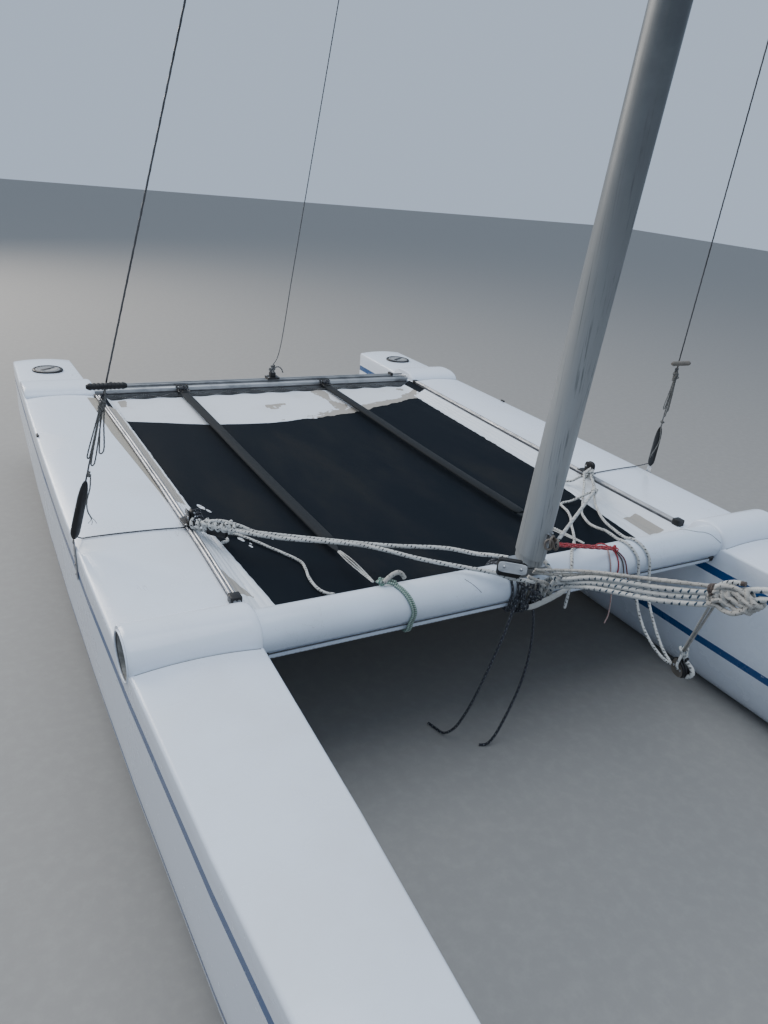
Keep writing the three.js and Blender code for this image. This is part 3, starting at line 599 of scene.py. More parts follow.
class Finishes:
    """Every finish of the boat, built once."""

    def __init__(self) -> None:
        """Builds the materials."""
        white, chalk = rgb(0.78, 0.84, 0.93), rgb(0.60, 0.61, 0.61)
        self.hull = Gloss("gelcoat_striped", white, chalk, stripes=((0.080, 0.111), (0.366, 0.396))).material()
        self.fairing = Gloss("fairing_white", rgb(0.77, 0.83, 0.92), chalk, dirt_share=0.25).material()
        self.beam = Gloss("beam_paint", rgb(0.70, 0.77, 0.86), rgb(0.52, 0.55, 0.58), dirt_share=0.4,
                          roughness=(0.28, 0.45), scuffs=0.6).material()
        self.rough = Plastic("mouth_foam", rgb(0.20, 0.20, 0.19), rgb(0.62, 0.62, 0.60), (0.85, 0.95)).material()
        # Dark seams, edges and scratches, and also the painted shade in the beams' grooves.
        self.seam = Plastic("dark_seam_and_groove_shade", rgb(0.05, 0.05, 0.055), rgb(0.22, 0.22, 0.22)).material()
        self.joint = Plastic("joint_grey", rgb(0.16, 0.17, 0.18), rgb(0.34, 0.35, 0.36)).material()
        self.aluminium = Metal("anodised_across", rgb(0.46, 0.47, 0.48), rgb(0.26, 0.27, 0.28)).material()
        self.rail = Metal("anodised_along", rgb(0.43, 0.44, 0.46), rgb(0.26, 0.27, 0.28),
                          (1.0, 0.04, 1.0)).material()
        self.stainless = Metal("stainless_dull", rgb(0.52, 0.53, 0.54), rgb(0.33, 0.33, 0.33), (1.0, 1.0, 0.1),
                               (0.28, 0.42), 0.95, 0.15).material()
        self.rusty = Metal("stainless_rusty", rgb(0.23, 0.20, 0.17), rgb(0.09, 0.065, 0.045), (1.0, 1.0, 1.0),
                           (0.45, 0.65), 0.6, 0.5).material()
        self.wire = Metal("wire_dark", rgb(0.14, 0.14, 0.145), rgb(0.07, 0.07, 0.072), (1.0, 1.0, 1.0),
                          (0.4, 0.55), 0.8, 0.0).material()
        # The mast's second colour is the painted lighter tone of its foot.
        self.mast = Spar("mast_grey", rgb(0.088, 0.098, 0.105), rgb(0.36, 0.368, 0.365),
                         rgb(0.10, 0.108, 0.112)).material()
        self.black = Plastic("plastic_black", rgb(0.0065, 0.0065, 0.0075), rgb(0.022, 0.022, 0.023)).material()
        self.grey = Plastic("plastic_grey", rgb(0.24, 0.25, 0.26), rgb(0.40, 0.40, 0.40)).material()
        self.dull = Plastic("plastic_dull", rgb(0.13, 0.115, 0.095), rgb(0.24, 0.21, 0.18)).material()
        self.pale = Plastic("plastic_pale", rgb(0.42, 0.43, 0.44), rgb(0.60, 0.60, 0.58)).material()
        self.mesh = Cloth("mesh_cloth", rgb(0.0050, 0.0085, 0.0135), rgb(0.002, 0.003, 0.004),
                          rgb(0.042, 0.040, 0.036), dust_share=0.42, sheen=0.0, shine=0.07).material()
        self.strap = Cloth("strap_cloth", rgb(0.014, 0.017, 0.020), rgb(0.006, 0.007, 0.008),
                           rgb(0.06, 0.06, 0.06), 620.0, 0.35, 0.04, 0.10).material()
        self.vinyl = Vinyl("border_vinyl", rgb(0.70, 0.74, 0.79), rgb(0.34, 0.32, 0.29)).material()
        self.rope = Rope("rope_white", rgb(0.62, 0.62, 0.59), rgb(0.012, 0.013, 0.018), width=0.080,
                         beat=0.0120, share=0.40).material()
        self.blue_rope = Rope("rope_blue_fleck", rgb(0.60, 0.60, 0.57), rgb(0.005, 0.036, 0.070), pitch=0.044,
                              width=0.085, beat=0.024, share=0.36).material()
        self.dark_rope = Rope("rope_dark", rgb(0.022, 0.024, 0.032), rgb(0.26, 0.28, 0.30), width=0.06,
                              grey=rgb(0.055, 0.055, 0.062)).material()
        self.green_rope = Rope("rope_green", rgb(0.10, 0.21, 0.155), rgb(0.46, 0.50, 0.45), pitch=0.012, width=0.16,
                               beat=0.006, share=0.5, grey=rgb(0.17, 0.23, 0.20)).material()
        self.red_rope = Rope("rope_red", rgb(0.45, 0.020, 0.030), rgb(0.55, 0.45, 0.42), width=0.04,
                             grey=rgb(0.25, 0.03, 0.04)).material()
        self.wine_rope = Rope("rope_wine", rgb(0.16, 0.020, 0.022), rgb(0.40, 0.30, 0.27), width=0.04,
                              grey=rgb(0.10, 0.03, 0.03)).material()
        self.pink_rope = Rope("rope_pink", rgb(0.46, 0.33, 0.30), rgb(0.50, 0.08, 0.08), width=0.06).material()
        self.grimy_rope = Rope("rope_grimy", rgb(0.46, 0.44, 0.40), rgb(0.12, 0.115, 0.105), width=0.05,
                               beat=0.010, grey=rgb(0.20, 0.185, 0.16)).material()
        self.dusty_rope = Rope("rope_dusty", rgb(0.20, 0.195, 0.18), rgb(0.05, 0.05, 0.05), width=0.08,
                               beat=0.010, grey=rgb(0.09, 0.085, 0.075)).material()
        self.brown_rope = Rope("rope_brown", rgb(0.075, 0.055, 0.045), rgb(0.18, 0.14, 0.11), width=0.05,
                               grey=rgb(0.10, 0.08, 0.07)).material()
        self.dark_fleck = Rope("rope_dark_fleck", rgb(0.085, 0.085, 0.088), rgb(0.42, 0.42, 0.40), width=0.10,
                               beat=0.012, grey=rgb(0.05, 0.05, 0.05)).material()
        self.canvas = Cloth("canvas_strip", rgb(0.56, 0.545, 0.50), rgb(0.28, 0.26, 0.22), rgb(0.34, 0.31, 0.26),
                            700.0, 0.5, 0.1).material()
        self.beige = Cloth("flange_canvas", rgb(0.34, 0.32, 0.275), rgb(0.20, 0.185, 0.155), rgb(0.26, 0.24, 0.20),
                           700.0, 0.5, 0.05).material()
        self.floor = Plastic("floor_pale", rgb(0.29, 0.28, 0.265), rgb(0.34, 0.33, 0.31), (0.8, 0.9)).material()


# Meshes


@dataclass
class Shape:
    """Points and faces, gathered before they become a mesh."""

    points: Line = field(default_factory=list)
    faces: list[tuple[int, ...]] = field(default_factory=list)

    def loft(self, rings: list[Line], around: bool = True, caps: bool = True) -> "Shape":
        """Joins rings of equally many points.

        Args:
            rings: the rings in order.
            around: whether each ring closes on itself.
            caps: whether a fan closes each end.

        Returns:
            The shape itself.
        """
        start, count = len(self.points), len(rings[0])
        for ring in rings:
            self.points.extend(Vector(point) for point in ring)
        for row in range(len(rings) - 1):
            for i in range(count if around else count - 1):
                a = start + row * count + i
                b = start + row * count + (i + 1) % count
                self.faces.append((a, b, b + count, a + count))
        if caps:
            for row in (0, len(rings) - 1):
                middle = sum((Vector(point) for point in rings[row]), Vector()) / count
                self.points.append(middle)
                centre = len(self.points) - 1
                for i in range(count):
                    a = start + row * count + i
                    b = start + row * count + (i + 1) % count
                    self.faces.append((centre, b, a) if row == 0 else (centre, a, b))
        return self

    def object(self, name: str, crease: float = 38.0) -> Piece:
        """Makes a smooth object with its faces outwards.

        Args:
            name: the object's name.
            crease: the angle in degrees past which an edge is sharp.

        Returns:
            The object.
        """
        mesh = bpy.data.meshes.new(name)
        mesh.from_pydata([tuple(point) for point in self.points], [], self.faces)
        return finished_mesh(name, mesh, crease)


def finished_mesh(name: str, mesh: bpy.types.Mesh, crease: float = 38.0) -> Piece:
    """Turns a mesh's faces outwards, smooths it and puts it in an object at the origin."""
    whole = bmesh.new()
    whole.from_mesh(mesh)
    bmesh.ops.remove_doubles(whole, verts=whole.verts, dist=1e-6)
    bmesh.ops.recalc_face_normals(whole, faces=whole.faces)
    whole.to_mesh(mesh)
    whole.free()
    mesh.shade_smooth()
    mesh.set_sharp_from_angle(angle=math.radians(crease))
    made = bpy.data.objects.new(name, mesh)
    bpy.context.scene.collection.objects.link(made)
    return made


def lathe(profile: list[tuple[float, float]], start: Vector, way: Vector, sides: int = 32) -> list[Line]:
    """Turns a profile of (radius, height) pairs about a line, and returns its rings."""
    turn = way.to_track_quat("Z", "Y")
    rings = []
    for radius, height in profile:
        rings.append([start + turn @ Vector((radius * math.cos(a), radius * math.sin(a), height))
                      for a in angles(sides)])
    return rings


def rounded_box(size: Triple, centre: Vector, radius: float, turn: Matrix | None = None) -> Shape:
    """A box with rounded corners and edges, built from rings."""
    half_x, half_y, half_z = (value / 2 for value in size)
    shape, rings = Shape(), []
    levels = [(-half_z, radius), (-half_z + radius * 0.3, radius * 0.3), (-half_z + radius, 0.0),
              (half_z - radius, 0.0), (half_z - radius * 0.3, radius * 0.3), (half_z, radius)]
    for z, inset in levels:
        ring = []
        for sx, sy, start in ((1, 1, 0), (-1, 1, 90), (-1, -1, 180), (1, -1, 270)):
            for step in (0, 30, 60, 90):
                angle = math.radians(start + step)
                point = Vector((sx * (half_x - radius) + (radius - inset) * math.cos(angle),
                                sy * (half_y - radius) + (radius - inset) * math.sin(angle), z))
                ring.append(centre + (turn @ point if turn else point))
        rings.append(ring)
    return shape.loft(rings)


def smooth_line(points: Line, per_span: int = 12) -> Line:
    """A centripetal Catmull-Rom curve through the points.

    Args:
        points: the route.
        per_span: how many steps each span is cut into.

    Returns:
        Points along the curve.
    """
    out: Line = []
    last = len(points) - 1
    for i in range(last):
        p1, p2 = points[i], points[i + 1]
        p0 = points[i - 1] if i > 0 else p1 * 2 - p2
        p3 = points[i + 2] if i + 2 <= last else p2 * 2 - p1
        d0, d1, d2 = ((a - b).length ** 0.5 for a, b in ((p0, p1), (p1, p2), (p2, p3)))
        first = ((p1 - p0) / d0 - (p2 - p0) / (d0 + d1) + (p2 - p1) / d1) * d1
        second = ((p2 - p1) / d1 - (p3 - p1) / (d1 + d2) + (p3 - p2) / d2) * d1
        for step in range(per_span + (i == last - 1)):
            t = step / per_span
            out.append(p1 + first * t + (-3 * p1 + 3 * p2 - 2 * first - second) * t * t
                       + (2 * p1 - 2 * p2 + first + second) * t ** 3)
    return out


def helix(start: Vector, end: Vector, radius: float, turns: float, phase: float = 0.0,
          per_turn: int = 18) -> Line:
    """A line that winds about the axis between two points.

    Args:
        start: the axis's first point.
        end: the axis's last point.
        radius: how far the line is from the axis.
        turns: how often it goes round.
        phase: the angle that it starts from, in degrees.
        per_turn: how many points make one turn.

    Returns:
        The winding line.
    """
    turn = (end - start).to_track_quat("Z", "Y")
    count = max(2, round(per_turn * turns))
    out = []
    for i in range(count + 1):
        angle = math.radians(phase) + 2 * math.pi * turns * i / count
        out.append(start.lerp(end, i / count) + turn @ Vector((radius * math.cos(angle), radius * math.sin(angle), 0)))
    return out


def knot_line(centre: Vector, size: float, way: Vector) -> Line:
    """The closed line of an overhand knot, with its flat side facing a direction."""
    turn = way.to_track_quat("Z", "Y")
    out = []
    for i in range(73):
        t = 2 * math.pi * i / 72
        point = Vector((math.sin(t) + 2 * math.sin(2 * t), math.cos(t) - 2 * math.cos(2 * t), -1.1 * math.sin(3 * t)))
        out.append(centre + turn @ (point * (size / 3)))
    return out


def carve(piece: Piece, cutter: Piece, crease: float) -> None:
    """Cuts one closed shape out of another one's mesh, and smooths it again."""
    cut = piece.modifiers.new("cut", "BOOLEAN")
    cut.operation = "DIFFERENCE"
    cut.solver = "EXACT"
    cut.object = cutter
    graph = bpy.context.evaluated_depsgraph_get()
    mesh = bpy.data.meshes.new_from_object(piece.evaluated_get(graph), depsgraph=graph)
    piece.modifiers.clear()
    piece.data = mesh
    mesh.shade_smooth()
    mesh.set_sharp_from_angle(angle=math.radians(crease))
    bpy.data.objects.remove(cutter)


# Geometry Nodes


def socket_id(tree: bpy.types.NodeTree, label: str) -> str:
    """The identifier of a tree's input."""
    return next(item.identifier for item in tree.interface.items_tree
                if item.item_type == "SOCKET" and item.in_out == "INPUT" and item.name == label)


def grown(name: str, host: bpy.types.Mesh, tree: bpy.types.NodeTree,
          inputs: dict[str, object]) -> Piece:
    """Runs a geometry tree on a host mesh, and returns a plain mesh object.

    Args:
        name: the new object's name.
        host: the points or line that the tree starts from.
        tree: the geometry tree.
        inputs: the values of its inputs, by name.

    Returns:
        The object, with no modifier left.
    """
    scratch = bpy.data.objects.new(f"{name}_host", host)
    bpy.context.scene.collection.objects.link(scratch)
    modifier = scratch.modifiers.new("grow", "NODES")
    modifier.node_group = tree
    for label, value in inputs.items():
        modifier[socket_id(tree, label)] = value
    graph = bpy.context.evaluated_depsgraph_get()
    mesh = bpy.data.meshes.new_from_object(scratch.evaluated_get(graph), preserve_all_data_layers=True,
                                           depsgraph=graph)
    mesh.name = name
    bpy.data.objects.remove(scratch)
    made = bpy.data.objects.new(name, mesh)
    bpy.context.scene.collection.objects.link(made)
    return made


def line_mesh(lines: list[Line]) -> bpy.types.Mesh:
    """A mesh of edges along one or more lines."""
    mesh = bpy.data.meshes.new("line")
    points, edges = [], []
    for line in lines:
        start = len(points)
        points.extend(tuple(point) for point in line)
        edges.extend((start + i, start + i + 1) for i in range(len(line) - 1))
    mesh.from_pydata(points, edges, [])
    return mesh


def facing_mesh(seats: list[tuple[Vector, Vector]]) -> bpy.types.Mesh:
    """A mesh of single points, each with the direction that it faces."""
    mesh = bpy.data.meshes.new("seats")
    mesh.from_pydata([tuple(point) for point, _ in seats], [], [])
    facing = mesh.attributes.new("facing", "FLOAT_VECTOR", "POINT")
    facing.data.foreach_set("vector", [value for _, way in seats for value in way])
    return mesh


class Trees:
    """The geometry trees that make what repeats or follows a line."""

    def __init__(self) -> None:
        """Builds each tree once."""
        self.rope = self._rope()
        self.sleeve = self._sleeve()
        self.fasteners = self._fasteners()
        self.stitches = self._stitches()

    @staticmethod
    def _named(group: Group, name: str, kind: str) -> Socket:
        """Reads a named attribute inside a geometry tree."""
        return group.add("GeometryNodeInputNamedAttribute", {"data_type": kind}, {"Name": name}).outputs[0]

    @staticmethod
    def _stored(group: Group, geometry: object, name: str, value: object,
                kind: str = "FLOAT") -> Socket:
        """Stores a named attribute on points."""
        return group.add("GeometryNodeStoreNamedAttribute", {"data_type": kind, "domain": "POINT"},
                         {"Geometry": geometry, "Name": name, "Value": value}).outputs[0]

    @staticmethod
    def _close(group: Group, geometry: Socket) -> None:
        """Ends a tree: smooth faces, real instances and the finish."""
        smooth = group.add("GeometryNodeSetShadeSmooth", inputs={0: geometry}).outputs[0]
        real = group.add("GeometryNodeRealizeInstances", inputs={0: smooth}).outputs[0]
        group.give("Geometry", group.add("GeometryNodeSetMaterial", inputs={
            "Geometry": real, "Material": group.given("Finish")}).outputs[0])

    def _swept(self, group: Group, scale: object) -> Socket:
        """Sweeps a circle along the host line, and keeps how far along and around each point is."""
        curve = group.add("GeometryNodeMeshToCurve", inputs={0: group.given("Geometry")}).outputs[0]
        even = group.add("GeometryNodeResampleCurve", {"mode": "LENGTH"},
                         {"Curve": curve, "Length": group.given("Step")}).outputs[0]
        spline = group.add("GeometryNodeSplineParameter")
        marked = self._stored(group, even, "along", spline.outputs["Length"])
        circle = group.add("GeometryNodeCurvePrimitiveCircle", inputs={
            "Resolution": group.given("Sides"), "Radius": group.given("Radius")}).outputs[0]
        turn = group.math("MULTIPLY", spline.outputs["Factor"], 2 * math.pi)
        ring = self._stored(group, circle, "around", turn)
        return group.add("GeometryNodeCurveToMesh", inputs={
            "Curve": marked, "Profile Curve": ring, "Scale": scale, "Fill Caps": True}).outputs[0]

    def _rope(self) -> bpy.types.NodeTree:
        """A rope or wire laid along a line: strands that cross in a braid or wind one way."""
        group = Group("rope_along_line", "GeometryNodeTree", {
            "Geometry": "Geometry", "Radius": "Float", "Step": "Float", "Sides": "Int", "Relief": "Float",
            "Strands": "Float", "Lay": "Float", "Braided": "Float", "Finish": "Material"}, {"Geometry": "Geometry"})
        tube = self._swept(group, 1.0)
        around, along = (self._named(group, name, "FLOAT") for name in ("around", "along"))
        lay = group.joined(group.math("COSINE", around), group.math("SINE", around), along)
        marked = self._stored(group, tube, "rope_lay", lay, "FLOAT_VECTOR")
        turns = group.math("MULTIPLY", around, group.given("Strands"))
        wound = group.math("MULTIPLY", group.math("DIVIDE", along, group.given("Lay")), 2 * math.pi)
        one = group.math("COSINE", group.math("ADD", turns, wound))
        other = group.math("COSINE", group.math("SUBTRACT", turns, wound))
        crossed = group.add("ShaderNodeMix", {"data_type": "FLOAT"}, {
            0: group.given("Braided"), 2: 1.0, 3: other}).outputs[0]
        height = group.math("MULTIPLY", group.math("MULTIPLY", one, crossed), group.given("Relief"))
        normal = group.add("GeometryNodeInputNormal").outputs[0]
        self._close(group, group.add("GeometryNodeSetPosition", inputs={
            "Geometry": marked, "Offset": group.scaled(normal, height)}).outputs[0])
        return group.tree

    def _sleeve(self) -> bpy.types.NodeTree:
        """A ribbed sleeve along a line, with rounded ends."""
        group = Group("ribbed_sleeve", "GeometryNodeTree", {
            "Geometry": "Geometry", "Radius": "Float", "Step": "Float", "Sides": "Int", "Rib": "Float",
            "Pitch": "Float", "End": "Float", "Finish": "Material"}, {"Geometry": "Geometry"})
        spline = group.add("GeometryNodeSplineParameter")
        beat = group.math("MULTIPLY", group.math("DIVIDE", spline.outputs["Length"], group.given("Pitch")),
                          2 * math.pi)
        ribs = group.math("MULTIPLY_ADD", group.math("COSINE", beat), group.given("Rib"),
                          group.math("SUBTRACT", 1.0, group.given("Rib")))
        nearest = group.math("MINIMUM", spline.outputs["Factor"],
                             group.math("SUBTRACT", 1.0, spline.outputs["Factor"]))
        ends = group.remap(nearest, 0.0, group.given("End"), 0.55, 1.0)
        tube = self._swept(group, group.math("MULTIPLY", ribs, ends))
        self._close(group, tube)
        return group.tree

    def _fasteners(self) -> bpy.types.NodeTree:
        """A round head on a thin washer at each host point, standing the way that the point faces."""
        group = Group("fasteners", "GeometryNodeTree", {
            "Geometry": "Geometry", "Radius": "Float", "Rise": "Float", "Washer": "Float", "Finish": "Material"},
            {"Geometry": "Geometry"})
        ball = group.add("GeometryNodeMeshUVSphere", inputs={
            "Segments": 14, "Rings": 8, "Radius": group.given("Radius")}).outputs[0]
        head = group.add("GeometryNodeTransform", inputs={
            "Geometry": ball, "Scale": group.joined(1.0, 1.0, group.given("Rise"))}).outputs[0]
        washer = group.add("GeometryNodeMeshCylinder", inputs={
            "Vertices": 16, "Radius": group.math("MULTIPLY", group.given("Radius"), group.given("Washer")),
            "Depth": group.math("MULTIPLY", group.given("Radius"), 0.25)}).outputs[0]
        both = group.add("GeometryNodeJoinGeometry")
        group.feed(both.inputs[0], head)
        group.feed(both.inputs[0], washer)
        turn = group.add("FunctionNodeAlignRotationToVector", {"axis": "Z"}, {
            "Vector": self._named(group, "facing", "FLOAT_VECTOR")}).outputs[0]
        self._close(group, group.add("GeometryNodeInstanceOnPoints", inputs={
            "Points": group.given("Geometry"), "Instance": both.outputs[0], "Rotation": turn}).outputs[0])
        return group.tree

    def _stitches(self) -> bpy.types.NodeTree:
        """A row of short stitches along a line."""
        group = Group("stitches", "GeometryNodeTree", {
            "Geometry": "Geometry", "Pitch": "Float", "Thread": "Float", "Long": "Float", "Finish": "Material"},
            {"Geometry": "Geometry"})
        curve = group.add("GeometryNodeMeshToCurve", inputs={0: group.given("Geometry")}).outputs[0]
        points = group.add("GeometryNodeCurveToPoints", {"mode": "LENGTH"}, {
            "Curve": curve, "Length": group.given("Pitch")})
        ball = group.add("GeometryNodeMeshUVSphere", inputs={
            "Segments": 6, "Rings": 4, "Radius": group.given("Thread")}).outputs[0]
        thread = group.add("GeometryNodeTransform", inputs={
            "Geometry": ball, "Scale": group.joined(1.0, 1.0, group.given("Long"))}).outputs[0]
        turn = group.add("FunctionNodeAlignRotationToVector", {"axis": "Z"}, {
            "Vector": points.outputs["Tangent"]}).outputs[0]
        self._close(group, group.add("GeometryNodeInstanceOnPoints", inputs={
            "Points": points.outputs["Points"], "Instance": thread, "Rotation": turn}).outputs[0])
        return group.tree


# Pieces on their bodies


class Yard:
    """Where pieces are dressed and put on their bodies."""

    def __init__(self) -> None:
        """Makes the finishes and the geometry trees."""
        self.finishes = Finishes()
        self.trees = Trees()

    def fit(self, piece: Piece, finish: Finish, slot: Slot, body: Body = Body.ROOT,
            replaces: tuple[str, ...] = ()) -> Piece:
        """Dresses a piece and puts it on its body.

        Args:
            piece: the piece, in place.
            finish: its material.
            slot: the record's material slot that it stands for; not used.
            body: the body that it rides on.
            replaces: the CAD nodes that it stands for.

        Returns:
            The piece.
        """
        piece.data.materials.clear()
        piece.data.materials.append(finish)
        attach(piece, body.value)
        if replaces:
            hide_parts(*replaces)
        log.info("%s on %s: %d faces", piece.name, body.value, len(piece.data.polygons))
        return piece

    def loft(self, name: str, rings: list[Line], finish: Finish, slot: Slot,
             crease: float = 38.0, body: Body = Body.ROOT, replaces: tuple[str, ...] = ()) -> Piece:
        """Fits a closed shape that joins rings of points."""
        return self.fit(Shape().loft(rings).object(name, crease), finish, slot, body, replaces)

    def box(self, name: str, size: Triple, centre: Vector, radius: float, turn: Matrix | None = None,
            replaces: tuple[str, ...] = ()) -> Piece:
        """Fits a black box with rounded edges."""
        return self.fit(rounded_box(size, centre, radius, turn).object(name), self.finishes.black,
                        Slot.BLACK_PLASTIC, replaces=replaces)

    def line(self, name: str, lines: list[Line], radius: float, finish: Finish, slot: Slot,
             step: float, sides: int = 8, body: Body = Body.ROOT,
             replaces: tuple[str, ...] = ()) -> Piece:
        """Fits a plain round line, such as a seam or a rod."""
        made = self.rope(name, lines, radius, finish, sides, 0.0, 1, 20.0, 0.0, step)
        return self.fit(made, finish, slot, body, replaces)

    def dress_node(self, name: str, finish: Finish) -> None:
        """Gives a CAD node that stays a finish."""
        node = frame["nodes"][name]
        if not node.data.materials:
            node.data.materials.append(finish)
        for i in range(len(node.data.materials)):
            node.data.materials[i] = finish
        log.info("%s keeps its own shape", name)

    def rope(self, name: str, lines: list[Line], radius: float, finish: Finish,
             sides: int = 14, relief: float = 0.09, strands: int = 3, lay: float = 5.0, braided: float = 1.0,
             step: float = 0.0) -> Piece:
        """Lays a rope along one or more lines.

        Args:
            name: the piece's name.
            lines: the middle lines of its lengths.
            radius: half the rope's thickness.
            finish: its material.
            sides: how many sides its section has.
            relief: how far its strands stand out, as a share of the radius.
            strands: how many strands wind each way.
            lay: the length of one winding, in radii.
            braided: 1 for a braid, 0 for strands that wind one way.
            step: the distance between sections, or 0 for one that suits the lay.

        Returns:
            The rope's mesh object.
        """
        return grown(name, line_mesh(lines), self.trees.rope, {
            "Radius": radius, "Step": step or radius * lay / 6, "Sides": sides, "Relief": radius * relief,
            "Strands": float(strands), "Lay": radius * lay, "Braided": braided, "Finish": finish})

    def fasteners(self, name: str, seats: list[tuple[Vector, Vector]], radius: float, body: Body = Body.ROOT,
                  rise: float = 0.5, washer: float = 1.4,
                  finish: Finish | None = None) -> Piece:
        """Sets a round-headed fastener at each seat."""
        chosen = finish or self.finishes.stainless
        made = grown(name, facing_mesh(seats), self.trees.fasteners, {
            "Radius": radius, "Rise": rise, "Washer": washer, "Finish": chosen})
        return self.fit(made, chosen, Slot.STAINLESS, body)

    def stitches(self, name: str, lines: list[Line], pitch: float, thread: float,
                 finish: Finish, slot: Slot) -> Piece:
        """Sews rows of stitches along lines."""
        made = grown(name, line_mesh(lines), self.trees.stitches, {
            "Pitch": pitch, "Thread": thread, "Long": pitch * 0.36 / thread, "Finish": finish})
        return self.fit(made, finish, slot)


@dataclass
class Part:
    """A sub-assembly, with the yard that dresses its pieces."""

    yard: Yard

    @property
    def finishes(self) -> Finishes:
        """The boat's finishes."""
        return self.yard.finishes


# Hulls and fairings


@dataclass(frozen=True)
class Station:
    """A hull's section at one y: half its deck's width, the deck's height, the keel's depth and the bilge."""

    y: float
    half: float
    deck: float
    keel: float
    sharp: float


STATIONS = tuple(Station(*row) for row in (
    (-2.560, 0.013, 0.042, -0.300, 1.5), (-2.480, 0.024, 0.040, -0.400, 1.5), (-2.300, 0.041, 0.034, -0.470, 1.45),
    (-2.000, 0.065, 0.026, -0.530, 1.35), (-1.500, 0.098, 0.014, -0.578, 1.2), (-1.000, 0.126, 0.006, -0.596, 1.05),
    (-0.600, 0.148, 0.002, -0.600, 0.95), (0.000, 0.168, 0.000, -0.600, 0.88), (0.500, 0.177, 0.000, -0.600, 0.85),
    (1.000, WIDEST_HALF, 0.000, -0.600, 0.85), (1.500, 0.173, 0.000, -0.600, 0.85),
    (2.000, 0.164, 0.000, -0.572, 0.82), (2.500, 0.152, 0.000, -0.512, 0.80),
    (2.885, 0.142, -0.002, -0.452, 0.78), (2.910, 0.133, -0.008, -0.445, 0.78)))


def station_at(y: float) -> Station:
    """The hull's section at any y, between the two stations that hold it."""
    after = next((i for i, station in enumerate(STATIONS) if station.y >= y), len(STATIONS) - 1)
    if after == 0:
        return STATIONS[0]
    a, b = STATIONS[after - 1], STATIONS[after]
    t = (y - a.y) / (b.y - a.y)
    return Station(y, *(getattr(a, key) + (getattr(b, key) - getattr(a, key)) * t
                        for key in ("half", "deck", "keel", "sharp")))


def deck_top(station: Station, across: float) -> float:
    """The height of a hull's deck, with across from -1 at one edge to 1 at the other."""
    return station.deck + CAMBER * station.half / WIDEST_HALF * (1 - across * across)


@dataclass(frozen=True)
class Mouth:
    """The oval opening in a hull's outer side, in front of the front beam's end."""

    y: float = 0.054
    z: float = 0.0
    half_width: float = 0.074
    half_height: float = 0.058
    inner_x: float = 1.060
    face_x: float = 1.2065

    def ring(self, x: float, grow: float, count: int = 72) -> Line:
        """One oval of the opening."""
        return [boat(x, self.y + (self.half_width + grow) * math.cos(a),
                     self.z + (self.half_height + grow) * math.sin(a)) for a in angles(count)]

    def cutter(self, side: Side) -> Piece:
        """The solid that is cut out of the hull and the fairing."""
        return Shape().loft([self.ring(side.sign * x, 0.0) for x in (self.inner_x, 1.24)]).object("mouth_cutter")

    def build(self, yard: Yard) -> None:
        """Lines each opening with bare laminate and gives it a thin rim."""
        for side in SIDES:
            outer, bottom = self.face_x - 0.004, self.inner_x + 0.0008
            wall = []
            for i in range(13):
                x = outer - (outer - bottom - 0.003) * i / 12
                wall.append([point + Vector((0.0, 0.0014 * noise.noise(point * 70.0),
                                             0.0012 * noise.noise(point * 45.0)))
                             for point in self.ring(side.sign * x, -0.0040)])
            back = self.ring(side.sign * bottom, -0.0008)
            liner = Shape()
            for a, b in ((self.ring(side.sign * outer, -0.0004), back), (back, self.ring(side.sign * bottom, -0.0579)),
                         (self.ring(side.sign * outer, -0.0004), wall[0]),
                         (wall[-1], self.ring(side.sign * (bottom + 0.003), -0.0579)),
                         (self.ring(side.sign * (bottom + 0.003), -0.0579), self.ring(side.sign * bottom, -0.0579))):
                liner.loft([a, b], caps=False)
            liner.loft(wall, caps=False)
            made = liner.object(f"mouth_{side.name}_liner", 60.0)
            yard.fit(made, yard.finishes.rough, Slot.BLACK_PLASTIC)
            for name, x, grow, radius, finish in (("rim", self.face_x + 0.0006, 0.0006, 0.0026, yard.finishes.fairing),
                                                  ("edge", self.face_x - 0.003, -0.0022, 0.0013, yard.finishes.seam)):
                line = self.ring(side.sign * x, grow, 120)
                yard.line(f"mouth_{side.name}_{name}", [[*line, line[0], line[1]]], radius, finish, Slot.BEAM_WHITE,
                          0.004, 10)


